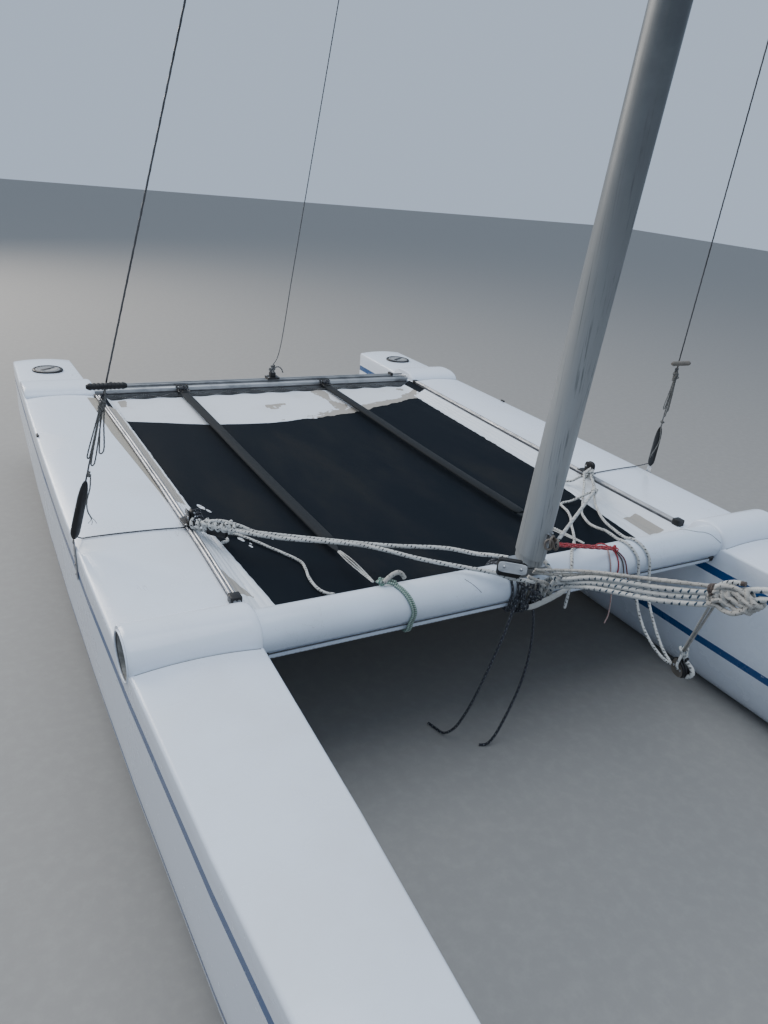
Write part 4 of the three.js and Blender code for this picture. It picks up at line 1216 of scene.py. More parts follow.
@dataclass
class Hulls(Part):
    """Both hulls, with their stripes and their lined mouths."""

    mouth: Mouth
    round: float = 0.010
    keel_flat: float = 0.009
    stripe_depth: float = 0.085

    def ring(self, sign: int, station: Station) -> Line:
        """One closed section of a hull, from the deck's middle round to itself."""
        half, deck, keel = station.half, station.deck, station.keel
        corner = min(self.round, half * 0.4)
        middle = deck + (keel - deck) * 0.5
        right: list[tuple[float, float]] = []
        for step in range(1, 8):
            t = step / 7
            right.append(((half - corner) * t, deck_top(station, t)))
        for step in range(1, 5):
            angle = math.radians(90 - step * 90 / 4)
            right.append((half - corner + corner * math.cos(angle), deck - corner + corner * math.sin(angle)))
        for step in range(1, 8):
            t = step / 7
            z = deck - corner + (middle - deck + corner) * t
            share = min(1.0, (deck - z) / self.stripe_depth)
            lower = max(0.0, (deck - z - self.stripe_depth) / (deck - middle - self.stripe_depth))
            right.append((half * (1 - 0.015 * share - 0.025 * lower), z))
        for step in range(1, 15):
            angle = math.radians(step * 90 / 15)
            across = max(self.keel_flat, half * 0.96 * math.cos(angle) ** station.sharp)
            right.append((across, middle + (keel - middle) * math.sin(angle)))
        right.append((min(self.keel_flat, half * 0.5), keel))
        x0 = sign * HULL_X
        points = [(x0, deck_top(station, 0.0)), *((x0 + x, z) for x, z in right),
                  *((x0 - x, z) for x, z in reversed(right))]
        return [boat(x, station.y, z) for x, z in points]

    def levels(self) -> list[float]:
        """The y of each section."""
        ys = [station.y for station in STATIONS]
        out = []
        for a, b in zip(ys, ys[1:]):
            count = max(1, round((b - a) / 0.07))
            out.extend(a + (b - a) * i / count for i in range(count))
        return [*out, ys[-1]]

    def hull(self, side: Side) -> None:
        """Builds one hull, with the depth under its deck kept for the stripes."""
        shape = Shape().loft([self.ring(side.sign, station_at(y)) for y in self.levels()])
        made = shape.object(f"hull_{side.name}_shell", 50.0)
        carve(made, self.mouth.cutter(side), 50.0)
        depth = made.data.attributes.new("below_deck", "FLOAT", "POINT")
        values = [station_at(v.co.y - PLAN_SHIFT.y).deck + PLAN_SHIFT.z - v.co.z for v in made.data.vertices]
        depth.data.foreach_set("value", values)
        self.yard.fit(made, self.finishes.hull, Slot.GELCOAT, replaces=(f"hull_{side.name}",))

    def build(self) -> None:
        """Builds the hulls."""
        for side in SIDES:
            self.hull(side)
        self.mouth.build(self.yard)


@dataclass
class Fairing(Part):
    """A low white shell over a beam's end on the deck."""

    place: str
    y: float
    half_depth: float
    height: float
    base: float = -0.014
    mouth: Mouth | None = None
    count: int = 64

    def outline(self) -> list[tuple[float, float]]:
        """The shell's section, as (y, z) pairs from the rear foot over the top to the front foot."""
        out = [(self.y + self.half_depth, self.base)]
        for step in range(0, 61):
            angle = math.radians(step * 3)
            cosine = math.cos(angle)
            flare = math.copysign(abs(cosine) ** 0.85, cosine)
            out.append((self.y + self.half_depth * flare, self.height * math.sin(angle)))
        out.append((self.y - self.half_depth, self.base))
        return out

    def spokes(self, scale: float) -> list[tuple[float, float]]:
        """Points of the section at even angles about its middle, so that rings of any form can join."""
        y0, z0 = self.y, self.height * 0.36
        outline = [(y0 + (y - self.y) * scale, z * scale if z > 0 else z) for y, z in self.outline()]
        points = []
        for angle in angles(self.count):
            way = (math.cos(angle), math.sin(angle))
            best = None
            for (ay, az), (by, bz) in zip(outline, outline[1:] + outline[:1]):
                ey, ez = by - ay, bz - az
                bottom = way[0] * ez - way[1] * ey
                if abs(bottom) < 1e-12:
                    continue
                reach = ((ay - y0) * ez - (az - z0) * ey) / bottom
                share = ((ay - y0) * way[1] - (az - z0) * way[0]) / bottom
                if reach > 0 and -1e-9 <= share <= 1 + 1e-9 and (best is None or reach < best):
                    best = reach
            points.append((y0 + way[0] * best, z0 + way[1] * best))
        return points

    def build(self) -> None:
        """Builds the fairing on both sides."""
        half = station_at(self.y).half - 0.003
        rows = [(-half, 0.9), (-half + 0.003, 0.95), (-half + 0.009, 0.98), (-half + 0.024, 1.0), (0.0, 1.0),
                (half - 0.012, 1.0), (half - 0.004, 0.985), (half, 0.96)]
        for side in SIDES:
            def at(x: float, section: list[tuple[float, float]], sign: int = side.sign) -> Line:
                """The section at one distance from the hull's middle."""
                return [boat(sign * (HULL_X + x), y, z) for y, z in section]

            made = Shape().loft([at(x, self.spokes(scale)) for x, scale in rows]).object(
                f"{self.place}_fairing_{side.name}_shell", 42.0)
            if self.mouth:
                carve(made, self.mouth.cutter(side), 42.0)
            self.yard.fit(made, self.finishes.fairing, Slot.BEAM_WHITE,
                          replaces=(f"{self.place}_fairing_{side.name}",))
            self.seams(side)

    def seams(self, side: Side) -> None:
        """Draws the dark joint line where the shell meets the deck."""
        lines = []
        for y in (self.y - self.half_depth - 0.0006, self.y + self.half_depth + 0.0006):
            station = station_at(y)
            line = []
            for i in range(41):
                x = -1 + 2 * i / 40
                line.append(boat(side.sign * (HULL_X + x * (station.half - 0.011)), y,
                                 deck_top(station, x) + 0.0002))
            lines.append(line)
        self.yard.line(f"{self.place}_fairing_{side.name}_seam", lines, 0.0008, self.finishes.joint,
                       Slot.BLACK_PLASTIC, 0.006)


# Beams


@dataclass
class Beams(Part):
    """The front beam with the ribbed track under it, and the rear beam."""

    rear_z: float = -0.026
    rear_half_depth: float = 0.046
    rear_half_height: float = 0.036
    half_length: float = 1.0097

    def front(self) -> None:
        """The front beam's oval tube, with a fine ridge along its front face."""
        rings = []
        for x in (-self.half_length, -0.6, -0.2, 0.2, 0.6, self.half_length):
            ring = []
            for i, angle in enumerate(angles(96)):
                ridge = 0.0008 if i in (55, 56) else 0.0
                ring.append(boat(x, FRONT_BEAM_Y + (FRONT_HALF_DEPTH + ridge) * math.cos(angle),
                                 (FRONT_HALF_HEIGHT + ridge) * math.sin(angle)))
            rings.append(ring)
        self.yard.loft("front_beam_tube", rings, self.finishes.beam, Slot.BEAM_WHITE, 30.0, replaces=("front_beam",))

    def lip(self) -> None:
        """The ribbed track under the front beam, with a dark rod above it as painted shade of the groove."""
        half, steps = 0.866, 260
        rings = []
        for step in range(steps + 1):
            x = -half + 2 * half * step / steps
            rib = 0.0012 if step % 2 else 0.0
            rings.append([boat(x, 0.004 + (0.0075 + rib) * math.cos(a), -0.0535 + (0.0088 + rib) * math.sin(a))
                          for a in angles(16)])
        self.yard.loft("front_beam_track", rings, self.finishes.beam, Slot.BEAM_WHITE, 60.0,
                       replaces=("front_beam_lip",))
        # Painted shade: a dark rod in the crevice between the beam and its track stands for the groove's shade.
        groove = [boat(x, -0.0085, -0.0405) for x in (-half, half)]
        self.yard.line("front_beam_groove_shade", [groove], 0.0021, self.finishes.seam, Slot.BLACK_PLASTIC, 0.5)
        for side in SIDES:
            self.yard.box(f"front_beam_track_end_{side.name}", (0.022, 0.014, 0.020),
                          boat(side.sign * 0.860, 0.002, -0.0500), 0.004)
        collar = curve("@742 60 -0.3, @752 80 -0.3, @768 95 -0.3, @782 103 -0.3, @807 110 -0.3, @831 124 -0.3, "
                       "@850 144 -0.3, @868 160 -0.3", 0.0009)
        self.yard.line("front_beam_collar", [collar], 0.0009, self.finishes.joint, Slot.BLACK_PLASTIC, 0.004)

    def rear(self) -> None:
        """The rear beam's grooved box section, with dark rods of painted shade in its two front grooves and on top at
        each side.
        """
        y, z, depth, height = REAR_BEAM_Y, self.rear_z, self.rear_half_depth, self.rear_half_height
        section = self.grooved_section(depth, height, 0.012, (-0.0205, 0.011), 0.008, 0.005)
        rings = [[boat(x, y + py, z + pz) for py, pz in section] for x in (-self.half_length, self.half_length)]
        self.yard.loft("rear_beam_extrusion", rings, self.finishes.aluminium, Slot.ALUMINIUM, 32.0,
                       replaces=("rear_beam",))
        half, face, top = self.half_length - 0.002, -depth + 0.0030, height + 0.0006
        # Painted shade: dark rods in the front grooves and along the top stand for the shade inside grooves.
        for name, dy, dz, radius in (("low", face, -0.0205, 0.0050), ("middle", face, 0.0110, 0.0036),
                                     ("front", -0.0250, top, 0.0024), ("back", 0.0270, top, 0.0030)):
            line = [boat(x, y + dy, z + dz) for x in (-half, half)]
            self.yard.line(f"rear_beam_slot_{name}", [line], radius, self.finishes.seam, Slot.BLACK_PLASTIC, 0.25, 10)

    @staticmethod
    def grooved_section(depth: float, height: float, corner: float, grooves: tuple[float, ...], width: float,
                        deep: float) -> list[tuple[float, float]]:
        """A box section with round corners and grooves in its front and rear faces, as (y, z) pairs."""
        out: list[tuple[float, float]] = []
        for sy, sz, start in ((1, 1, 0), (-1, 1, 90), (-1, -1, 180), (1, -1, 270)):
            for step in range(0, 91, 15):
                angle = math.radians(start + step)
                out.append((sy * (depth - corner) + corner * math.cos(angle),
                            sz * (height - corner) + corner * math.sin(angle)))
            if sy == -1 and sz == 1:
                for middle in sorted(grooves, reverse=True):
                    out.extend([(-depth, middle + width / 2), (-depth + deep, middle + width * 0.42),
                                (-depth + deep, middle - width * 0.42), (-depth, middle - width / 2)])
            if sy == 1 and sz == -1:
                for middle in sorted(grooves):
                    out.extend([(depth, middle - width / 2), (depth - deep, middle - width * 0.42),
                                (depth - deep, middle + width * 0.42), (depth, middle + width / 2)])
        return out

    def build(self) -> None:
        """Builds the beams."""
        self.front()
        self.lip()
        self.rear()


# Trampoline, rails and straps


def rail_x(y: float) -> float:
    """Where a rail's inner face stands from the middle of the boat."""
    return HULL_X - station_at(y).half - 0.006


@dataclass
class Trampoline(Part):
    """The stretched mesh sheet with its white border, its lacing, the rails and the hiking straps."""

    front_y: float = 0.108
    rear_y: float = 2.222
    edge_z: float = 0.003
    inner_z: float = -0.030
    sag: float = 0.016
    thickness: float = 0.0025
    border_edge: tuple[tuple[float, float], ...] = ((-0.86, 1.90), (-0.81, 1.88), (-0.44, 1.78), (-0.14, 1.76),
                                                    (0.23, 1.81), (0.50, 1.89), (0.78, 1.99), (0.86, 2.02))

    def flat_height(self, x: float, y: float) -> float:
        """The cloth's top without its folds."""
        edge = rail_x(y) - 0.0003
        along = (y - self.front_y) / (self.rear_y - self.front_y)
        sag = self.sag * math.sin(math.pi * along)
        rows = ((-edge, self.edge_z), (-edge + 0.06, self.inner_z), (-edge * 0.5, self.inner_z - sag * 0.8),
                (0.0, self.inner_z - sag), (edge * 0.5, self.inner_z - sag * 0.8), (edge - 0.06, self.inner_z),
                (edge, self.edge_z))
        for (ax, az), (bx, bz) in zip(rows, rows[1:]):
            if x <= bx or bx == rows[-1][0]:
                return az + (bz - az) * (x - ax) / (bx - ax)
        return self.edge_z

    def height(self, x: float, y: float) -> float:
        """The cloth's top, with long shallow folds that run with the boat and fade at its edges."""
        edge = rail_x(y)
        inside = math.prod(min(1.0, max(0.0, share)) for share in (
            (edge - abs(x)) / 0.12, (y - 0.12) / 0.15, (2.20 - y) / 0.10))
        slant = x + 0.16 * (y - 1.0)
        folds = rough(slant * 6.5, y * 0.9, 3.1) + 0.5 * rough(slant * 15.0, y * 1.6, 7.7)
        return self.flat_height(x, y) - 0.0022 + 0.0020 * folds * inside

    def rear_edge(self, x: float) -> float:
        """Where the cloth's rear edge lies, drawn back between the lacing's eyelets."""
        return self.rear_y - 0.020 * abs(math.sin(math.pi * x / EYELET_PITCH))

    def sheet(self) -> None:
        """The mesh sheet, laid in the space of its CAD solid."""
        rows, columns = 120, 144
        shape = Shape()
        grid = []
        for r in range(rows + 1):
            share = r / rows
            row = []
            for c in range(columns + 1):
                x = (rail_x(self.front_y + (self.rear_y - self.front_y) * share) - 0.0006) * (2 * c / columns - 1)
                y = self.front_y + 0.004 + (self.rear_edge(x) - self.front_y - 0.004) * share
                row.append(boat(x, y, self.height(x, y)))
            grid.append(row)
        shape.loft(grid, around=False, caps=False)
        mesh = bpy.data.meshes.new("trampoline_sheet")
        mesh.from_pydata([tuple(p) for p in shape.points], [], shape.faces)
        made = finished_mesh("trampoline_sheet", mesh, 60.0)
        if made.data.polygons[0].normal.z < 0:
            made.data.flip_normals()
        wall = made.modifiers.new("wall", "SOLIDIFY")
        wall.thickness = self.thickness
        wall.offset = -1.0
        self.yard.fit(made, self.finishes.mesh, Slot.MESH_CLOTH, replaces=("trampoline",))
        width = 2 * rail_x(1.0)

    def border_front(self, x: float) -> float:
        """Where the white rear border's front edge lies, torn in places."""
        for (ax, ay), (bx, by) in zip(self.border_edge, self.border_edge[1:]):
            if x <= bx:
                y = ay + (by - ay) * max(0.0, (x - ax)) / (bx - ax)
                break
        else:
            y = self.border_edge[-1][1]
        torn = min(1.0, max(0.0, (x + 0.2) / 0.3))
        ragged = rough(x * 17.0, 1.3, 0.0) * 0.020 + rough(x * 55.0, 4.1, 0.0) * 0.008
        return y + ragged * torn

    def patch(self, name: str, rows: list[list[tuple[float, ...]]]) -> Piece:
        """A thin layer of border cloth just above the sheet.

        Args:
            name: the piece's name.
            rows: rows of (x, y, wear), with how far the point is raised as a fourth number where it is.

        Returns:
            The piece, with wear kept for its finish.
        """
        grid = [[boat(row[0], row[1], self.height(row[0], row[1]) + 0.0016 + (row[3] if len(row) > 3 else 0.0))
                 for row in line] for line in rows]
        made = self.thin(name, grid, 0.0012)
        values = [row[2] for line in rows for row in line]
        wear = made.data.attributes.new("wear", "FLOAT", "POINT")
        wear.data.foreach_set("value", values + values)
        return self.yard.fit(made, self.finishes.vinyl, Slot.MESH_CLOTH)

    def rear_border(self) -> None:
        """The white border along the rear edge, worn and torn towards port."""
        columns = 260
        rear = []
        for r in range(22):
            t = r / 21
            row = []
            for c in range(columns + 1):
                x = -0.835 + 1.67 * c / columns
                front = self.border_front(x)
                back = self.rear_edge(x) - 0.001
                worn = max(0.0, 1 - t * 2.6) * min(1.0, max(0.0, (x + 0.22) / 0.5))
                spots = rough(x * 9.0, t * 2.2, 5.5)
                row.append((x, front + (back - front) * t, max(worn, 0.62 if spots > 0.42 else 0.0)))
            rear.append(row)
        self.patch("border_rear", rear)

    @staticmethod
    def side_wear(side: Side, y: float, t: float) -> float:
        """How worn a side border is, with t from 0 at the rail to 1 at the border's inner edge."""
        starboard = side.sign < 0
        worn = 0.1
        if starboard and y > 0.90 and t < 0.75:
            worn = 0.9
        if starboard and y > 0.90 and t > 0.92:
            worn = 0.55
        if starboard and 0.250 < y < 0.39 and 0.05 < t < 0.62 - 4.0 * (y - 0.250):
            worn = 0.95
        if not starboard and 0.195 < y < 0.345 and 0.22 < t < 0.62:
            worn = 0.95
        return worn

    def side_borders(self) -> None:
        """The white border along each rail, with its ribs and bare patches."""
        front, back = 0.128, 2.03
        inner = {-1: ((0.10, 0.752), (0.22, 0.757), (0.92, 0.800), (2.1, 0.815)),
                 1: ((0.10, 0.655), (0.19, 0.674), (0.88, 0.762), (2.1, 0.800))}
        for side in SIDES:
            rows = []
            table = inner[side.sign]
            for r in range(241):
                y = front + (back - front) * r / 240
                outer = rail_x(y) - 0.002
                (ay, ax), (by, bx) = next(pair for pair in zip(table, table[1:]) if y <= pair[1][0])
                limit = ax + (bx - ax) * (y - ay) / (by - ay)
                ragged = 0.007 if y > 0.95 else 0.002
                limit += rough(y * 30.0, side.sign * 5.0, 0.0) * ragged
                row = []
                for c in range(31):
                    t = c / 30
                    rib = 0.0030 * abs(math.sin(math.pi * t * 5)) * min(1.0, (y - front) / 0.1)
                    row.append((side.sign * (outer + (limit - outer) * t), y, self.side_wear(side, y, t), rib))
                rows.append(row)
            self.patch(f"border_{side.name}", rows)

    def scraps(self) -> None:
        """What is left of the starboard border's coating: small flakes on the cloth."""
        scraps = ((-0.761, 0.897, 0.030), (-0.745, 0.860, 0.018), (-0.710, 0.618, 0.022), (-0.696, 0.561, 0.013),
                  (-0.690, 0.580, 0.008), (-0.625, 0.630, 0.020), (-0.610, 0.600, 0.012), (-0.655, 0.655, 0.010))
        for i, (x, y, size) in enumerate(scraps):
            rows = []
            for r in range(9):
                v = -1 + r / 4
                wide = math.sqrt(max(0.02, 1 - v * v)) * (0.45 + 0.25 * rough(i * 3.0, v * 2.0, 1.0))
                rows.append([(x + 0.62 * size * (0.35 * v + wide * (-1 + c / 3)), y - 0.62 * size * v * 1.3,
                              0.9 if (i + r) % 4 == 3 else 0.1, 0.0006)
                             for c in range(7)])
            self.patch(f"border_scrap_{i + 1}", rows)

    def flange(self) -> None:
        """The bare strip that shows beside the starboard rail towards the rear."""
        flange = []
        for r in range(61):
            y = 0.900 + 1.250 * r / 60
            wide = 0.036 * min(1.0, (y - 0.880) / 0.75)
            row = []
            for c in range(5):
                x = rail_x(y) + 0.0222 + wide * c / 4
                across = (x - HULL_X) / station_at(y).half
                row.append(boat(-x, y, CAMBER * (1 - across * across) * min(1.0, (1 - abs(across)) * 18) + 0.0010))
            flange.append(row)
        self.yard.fit(self.thin("rail_starboard_flange", flange, 0.0014), self.finishes.beige, Slot.GREY_PLASTIC)

    def thin(self, name: str, grid: list[Line], thickness: float) -> Piece:
        """A thin closed layer whose top is a grid of points."""
        columns, count = len(grid[0]), len(grid) * len(grid[0])
        top = [point for row in grid for point in row]
        shape = Shape(points=top + [point - Vector((0, 0, thickness)) for point in top])
        for r in range(len(grid) - 1):
            for c in range(columns - 1):
                a = r * columns + c
                face = (a, a + 1, a + columns + 1, a + columns)
                shape.faces += [face, tuple(i + count for i in reversed(face))]
        rim = [*range(columns), *(r * columns + columns - 1 for r in range(1, len(grid))),
               *reversed(range(count - columns, count - 1)), *(r * columns for r in range(len(grid) - 2, 0, -1))]
        for a, b in zip(rim, rim[1:] + rim[:1]):
            shape.faces.append((a, a + count, b + count, b))
        return shape.object(name, 50.0)

    def straps(self) -> None:
        """The two padded hiking straps, flattened tubes."""
        line = ((0.470, -0.008), (0.900, -0.014), (1.300, -0.016), (1.700, -0.014), (2.120, -0.014),
                (2.228, -0.016), (2.2585, -0.022))
        for side, x in zip(SIDES, STRAP_X):
            route = smooth_line([boat(x, y, z) for y, z in line], 26)
            rings = []
            for i, point in enumerate(route):
                t = i / (len(route) - 1)
                ends = min(1.0, min(t, 1 - t) / 0.02 + 0.62)
                puff = 1 + 0.05 * noise.noise(point * 9.0)
                ring = []
                for angle in angles(28):
                    wide = math.copysign(abs(math.cos(angle)) ** 0.9, math.cos(angle))
                    ring.append(point + Vector((0.0225 * ends * wide, 0.0, 0.0105 * ends * puff * math.sin(angle))))
                rings.append(ring)
            made = self.yard.loft(f"strap_{side.name}_pad", rings, self.finishes.strap, Slot.WEBBING, 50.0,
                                  replaces=(f"hiking_strap_{side.name}",))

    def rails(self) -> None:
        """The twin-rod rails that hold the cloth's sides, with black end blocks."""
        section = pairs("0.2 -5.5, 21.6 -5.5, 21.6 9, 19 9.8, 12.8 9.8, 12 6.2, 9.6 6.2, 8.8 9.8, 2.8 9.8, 0.2 9")
        for side in SIDES:
            ys = [0.1805 + (2.1495 - 0.1805) * i / 40 for i in range(41)]
            lines = []
            for offset in (0.0050, 0.0165):
                lines.append([boat(side.sign * (rail_x(y) + offset), y, 0.0115) for y in ys])
            self.yard.line(f"rail_{side.name}_rods", lines, 0.0052, self.finishes.rail, Slot.ALUMINIUM, 0.05, 16,
                           replaces=(f"trampoline_rail_{side.name}",))
            base = []
            for y in ys:
                x = rail_x(y)
                base.append([boat(side.sign * (x + px), y, pz) for px, pz in section])
            self.yard.loft(f"rail_{side.name}_bed", base, self.finishes.seam, Slot.ALUMINIUM, 30.0)
            for label, y, z, size in (("front", 0.192 - 0.008 * side.sign, 0.0110, (0.034, 0.034, 0.027)),
                                      ("rear", 2.163, 0.0070, (0.030, 0.030, 0.019))):
                self.yard.box(f"rail_{side.name}_{label}_block", size,
                              boat(side.sign * (rail_x(y) + 0.011), y, z), 0.004)
            seam = [boat(side.sign * (rail_x(y) + 0.0105), y, 0.0085) for y in ys]
            self.yard.stitches(f"rail_{side.name}_stitches", [seam], 0.012, 0.0013, self.finishes.vinyl,
                               Slot.ROPE)

    def build(self) -> None:
        """Builds the trampoline."""
        self.sheet()
        self.rear_border()
        self.side_borders()
        self.scraps()
        self.flange()
        self.rails()
        self.straps()


# Mast and stays


@dataclass
class Mast(Part):
    """The oval mast with its luff groove, on its leaning axis."""

    foot: Triple = (0.0, 0.020, 0.082)
    lean_degrees: float = 3.73
    length: float = 8.520
    start: float = 0.022
    half_width: float = 0.038
    half_depth: float = 0.056
    groove: float = 0.005
    groove_depth: float = 0.011

    def at(self, x: float, y: float, z: float) -> Vector:
        """Takes a point of the mast's own plans, with z up the mast, to the frame."""
        turn = Matrix.Rotation(math.radians(self.lean_degrees), 3, "X")
        return boat(*self.foot) + turn @ Vector((x, y, z))

    def section(self) -> list[tuple[float, float]]:
        """The mast's section, with the groove at its rear."""
        out = []
        for i in range(65):
            angle = math.radians(98 + 344 * i / 64)
            out.append((self.half_width * math.cos(angle), self.half_depth * math.sin(angle)))
        out.append((self.groove, self.half_depth - self.groove_depth))
        out.append((-self.groove, self.half_depth - self.groove_depth))
        return out

    def build(self) -> None:
        """Builds the mast's tube."""
        rings = [[self.at(x, y, self.start + self.length * i / 24) for x, y in self.section()] for i in range(25)]
        self.yard.loft("mast_extrusion", rings, self.finishes.mast, Slot.MAST_GREY, 35.0, Body.MAST, ("mast",))
        for name, finish in (("mast_base", self.finishes.mast), ("masthead", self.finishes.black),
                             ("hounds_tang", self.finishes.stainless), ("mast_padeye", self.finishes.stainless)):
            self.yard.dress_node(name, finish)


@dataclass
class Stays(Part):
    """The shrouds, forestay and bridle, with the shrouds' covers and handles."""

    mast: Mast
    radius: float = 0.0025
    hounds: float = 6.130
    reach: float = 0.085
    ring_z: float = 0.900
    tang: tuple[float, float] = (TANG_Y, 0.062)
    cover_length: float = 0.205
    handle: tuple[float, float, float] = (0.515, 0.106, 0.010)

    def top(self) -> Vector:
        """Where the stays meet in front of the mast."""
        return self.mast.at(0.0, -self.reach, self.hounds)

    def ring(self) -> Vector:
        """Where the bridle's legs meet the forestay."""
        top = self.top() - PLAN_SHIFT
        share = (self.ring_z - self.tang[1]) / (top.z - self.tang[1])
        return boat(0.0, self.tang[0] + (top.y - self.tang[0]) * share, self.ring_z)

    def pin(self, side: Side) -> Vector:
        """Where a shroud is pinned to its chainplate."""
        return boat(side.sign * (HULL_X + station_at(SHROUD_Y).half + 0.0008 + 0.0015), SHROUD_Y, 0.0246)

    def wire(self, name: str, start: Vector, end: Vector, cut: tuple[float, float],
             replaces: str) -> Piece:
        """One stay between two points, cut short at each end."""
        way = (end - start).normalized()
        line = [start + way * cut[0], end - way * cut[1]]
        made = self.yard.rope(name, [line], self.radius, self.finishes.wire, 10, 0.12, 3, 14.0, 0.0, 0.007)
        return self.yard.fit(made, self.finishes.wire, Slot.STAINLESS, replaces=(replaces,))

    def build(self) -> None:
        """Builds the stays."""
        top, ring = self.top(), self.ring()
        self.wire("forestay_wire", ring, top, (0.0135, 0.0135), "forestay")
        for side in SIDES:
            foot = boat(side.sign * HULL_X, *self.tang)
            self.wire(f"bridle_{side.name}_wire", foot, ring, (0.0, 0.0135), f"bridle_{side.name}")
            pin = self.pin(side)
            way = (top - pin).normalized()
            self.wire(f"shroud_{side.name}_wire", pin, top, (self.cover_length + 0.0003, 0.0135),
                      f"shroud_{side.name}")
            cover = pairs("0.4 0, 1.2 0, 5 3, 9 10, 12.8 20, 14 30, 14.1 90, 13.6 150, 11.5 178, 7.8 197, 5 204.5, "
                          "2.6 205")
            self.yard.loft(f"shroud_cover_{side.name}_sleeve", lathe(cover, pin, way, 28), self.finishes.black,
                           Slot.BLACK_PLASTIC, 45.0, replaces=(f"shroud_cover_{side.name}",))
            distance, length, radius = self.handle
            rubber = self.finishes.dull if side.sign > 0 else self.finishes.black
            grip = pin + way * distance + Vector((0.0, -(self.radius + radius + 0.0005), 0.0))
            line = [grip - Vector((length / 2, 0, 0)), grip + Vector((length / 2, 0, 0))]
            made = grown(f"trapeze_handle_{side.name}_grip", line_mesh([line]), self.yard.trees.sleeve, {
                "Radius": radius, "Step": 0.0012, "Sides": 20, "Rib": 0.07, "Pitch": 0.0105, "End": 0.06,
                "Finish": rubber})
            self.yard.fit(made, rubber, Slot.BLACK_PLASTIC, replaces=(f"trapeze_handle_{side.name}",))
        for name in ("stay_shackle", "bridle_ring"):
            self.yard.dress_node(name, self.finishes.stainless)


# Ropes


def on_beam(x: float, degrees: float, radius: float, gap: float = 0.0018) -> Triple:
    """A point of a rope that lies on the front beam, turned up from the beam's rear face."""
    turn = math.radians(degrees)
    out = Vector((math.cos(turn) / FRONT_HALF_DEPTH, math.sin(turn) / FRONT_HALF_HEIGHT)).normalized()
    out *= radius + gap
    return (x, FRONT_BEAM_Y + FRONT_HALF_DEPTH * math.cos(turn) + out.x, FRONT_HALF_HEIGHT * math.sin(turn) + out.y)


def on_cloth(cloth: Trampoline, x: float, y: float, radius: float) -> Triple:
    """A point of a rope that lies on the trampoline."""
    return (x, y, cloth.flat_height(x, y) + radius + 0.0015)


def on_floor(x: float, y: float, radius: float) -> Triple:
    """A point of a rope that lies on the floor."""
    return (x, y, radius + 0.0003 - PLAN_SHIFT.z)


def laid(text: str, radius: float = 0.0, cloth: Trampoline | None = None) -> Line:
    """Reads a rope's route.

    Args:
        text: its points in millimetres on the plans. "x y z" is a free point, "@x degrees gap" lies on the front
            beam, with its gap left out where it is on_beam's own, "_x y" lies on the cloth and "!x y" on the floor.
        radius: half the rope's thickness.
        cloth: the trampoline, where the route touches it.

    Returns:
        The points in the frame.
    """
    out = []
    for point in text.split(", "):
        x, *rest = (float(value) / 1000 for value in point.lstrip("@_!").split())
        if point[0] == "@":
            place = on_beam(x, rest[0] * 1000, radius, *rest[1:])
        elif point[0] == "_":
            place = on_cloth(cloth, x, rest[0], radius)
        elif point[0] == "!":
            place = on_floor(x, rest[0], radius)
        else:
            place = (x, *rest)
        out.append(boat(*place))
    return out


def curve(text: str, radius: float = 0.0, cloth: Trampoline | None = None) -> Line:
    """A smooth line along a route that is written as laid() reads it."""
    return smooth_line(laid(text, radius, cloth))


def knot(place: str, size: float, way: Triple) -> Line:
    """The line of a knot, with its place written as laid() reads it."""
    return knot_line(*laid(place), size, Vector(way))


def coil(ends: str, *shape: float) -> Line:
    """A helix whose two ends are written as laid() reads them."""
    return helix(*laid(ends), *shape)


@dataclass(frozen=True)
class LooseRope:
    """A free rope: its CAD node, half its thickness, its far end, its lay and its route, as laid() reads it."""

    node: str
    radius: float
    far_end: str
    lay: str
    route: str
    dark: bool = False


LOOSE_ROPES = (
    LooseRope("sheet_loop_inner", 0.005, "object", "hanging",
              "808 648 42, 775 600 12, 720 540 -10, 660 475 -20, 611 424 -22, 560 335 -16, 510 245 12, 462 152 47, "
              "@440 60, @431 85, @434 110, @440 135, @446 158, 450 -36.5 -34, 450 -52 -108, 450 -105 -185, "
              "444 -175 -226, 434 -232 -233, 427 -262 -226, 424 -278 -216.5"),
    LooseRope("sheet_loop_outer", 0.005, "object", "hanging",
              "836 642 44, 812 590 16, 770 530 -8, 720 465 -16, 655 375 -10, 590 290 10, 537 221 32, 494 148 50, "
              "@476 60, @477 85, @483 110, @490 135, @497 158, 503 -37.5 -40, 500 -60 -112, 490 -120 -184, "
              "472 -190 -232, 455 -238 -240, 440 -265 -230, 436 -280.5 -217"),
    LooseRope("lazy_line", 0.005, "bare", "loose",
              "754 519 10, 728 517 10, 702 516 5, 672 520 -8, 642 530 -23, _612 535, _590 524, _582 500, _574 468, "
              "_545 415, _501 359, _446 284, 402 232 -21, 350 184 6, 300 137 34, @245 62, @206 85, @180 110, "
              "@162 135, @150 158, 144 -34.5 -30, 141 -36 -60, 140 -36 -90"),
    LooseRope("mat_line", 0.0045, "bare", "loose",
              "-838 646 34, -806 652 7, -772 656 -15, -744 655 -23.4, _-716 645, _-676 585, _-645 526, _-612 465, "
              "_-587 403, _-592 355, _-603 310, _-608 262, _-604 222, _-592 198, _-572 186"),
    LooseRope("lashing_tail_long", 0.0045, "bare", "hanging",
              "@-40 160 0.3, -60 -34 -18, -80 -40 -60, -95 -42 -120, -110 -38 -190, -128 -32 -270, -142 -18 -360, "
              "-152 5 -450, -162 40 -540, -170 80 -588, !-178 119, !-186 150", True),
    LooseRope("lashing_tail_short", 0.0045, "bare", "hanging",
              "@-6 160 0.3, -6 -34 -18, 7 -36 -70, 23 -34 -133, 33 -31 -195, 36 -30 -253, 30 -30 -330, 17 -30 -395, "
              "0 -30 -450, -18 -30 -500, -42 -27 -560, -62 -20 -590.5, !-84 -10", True))


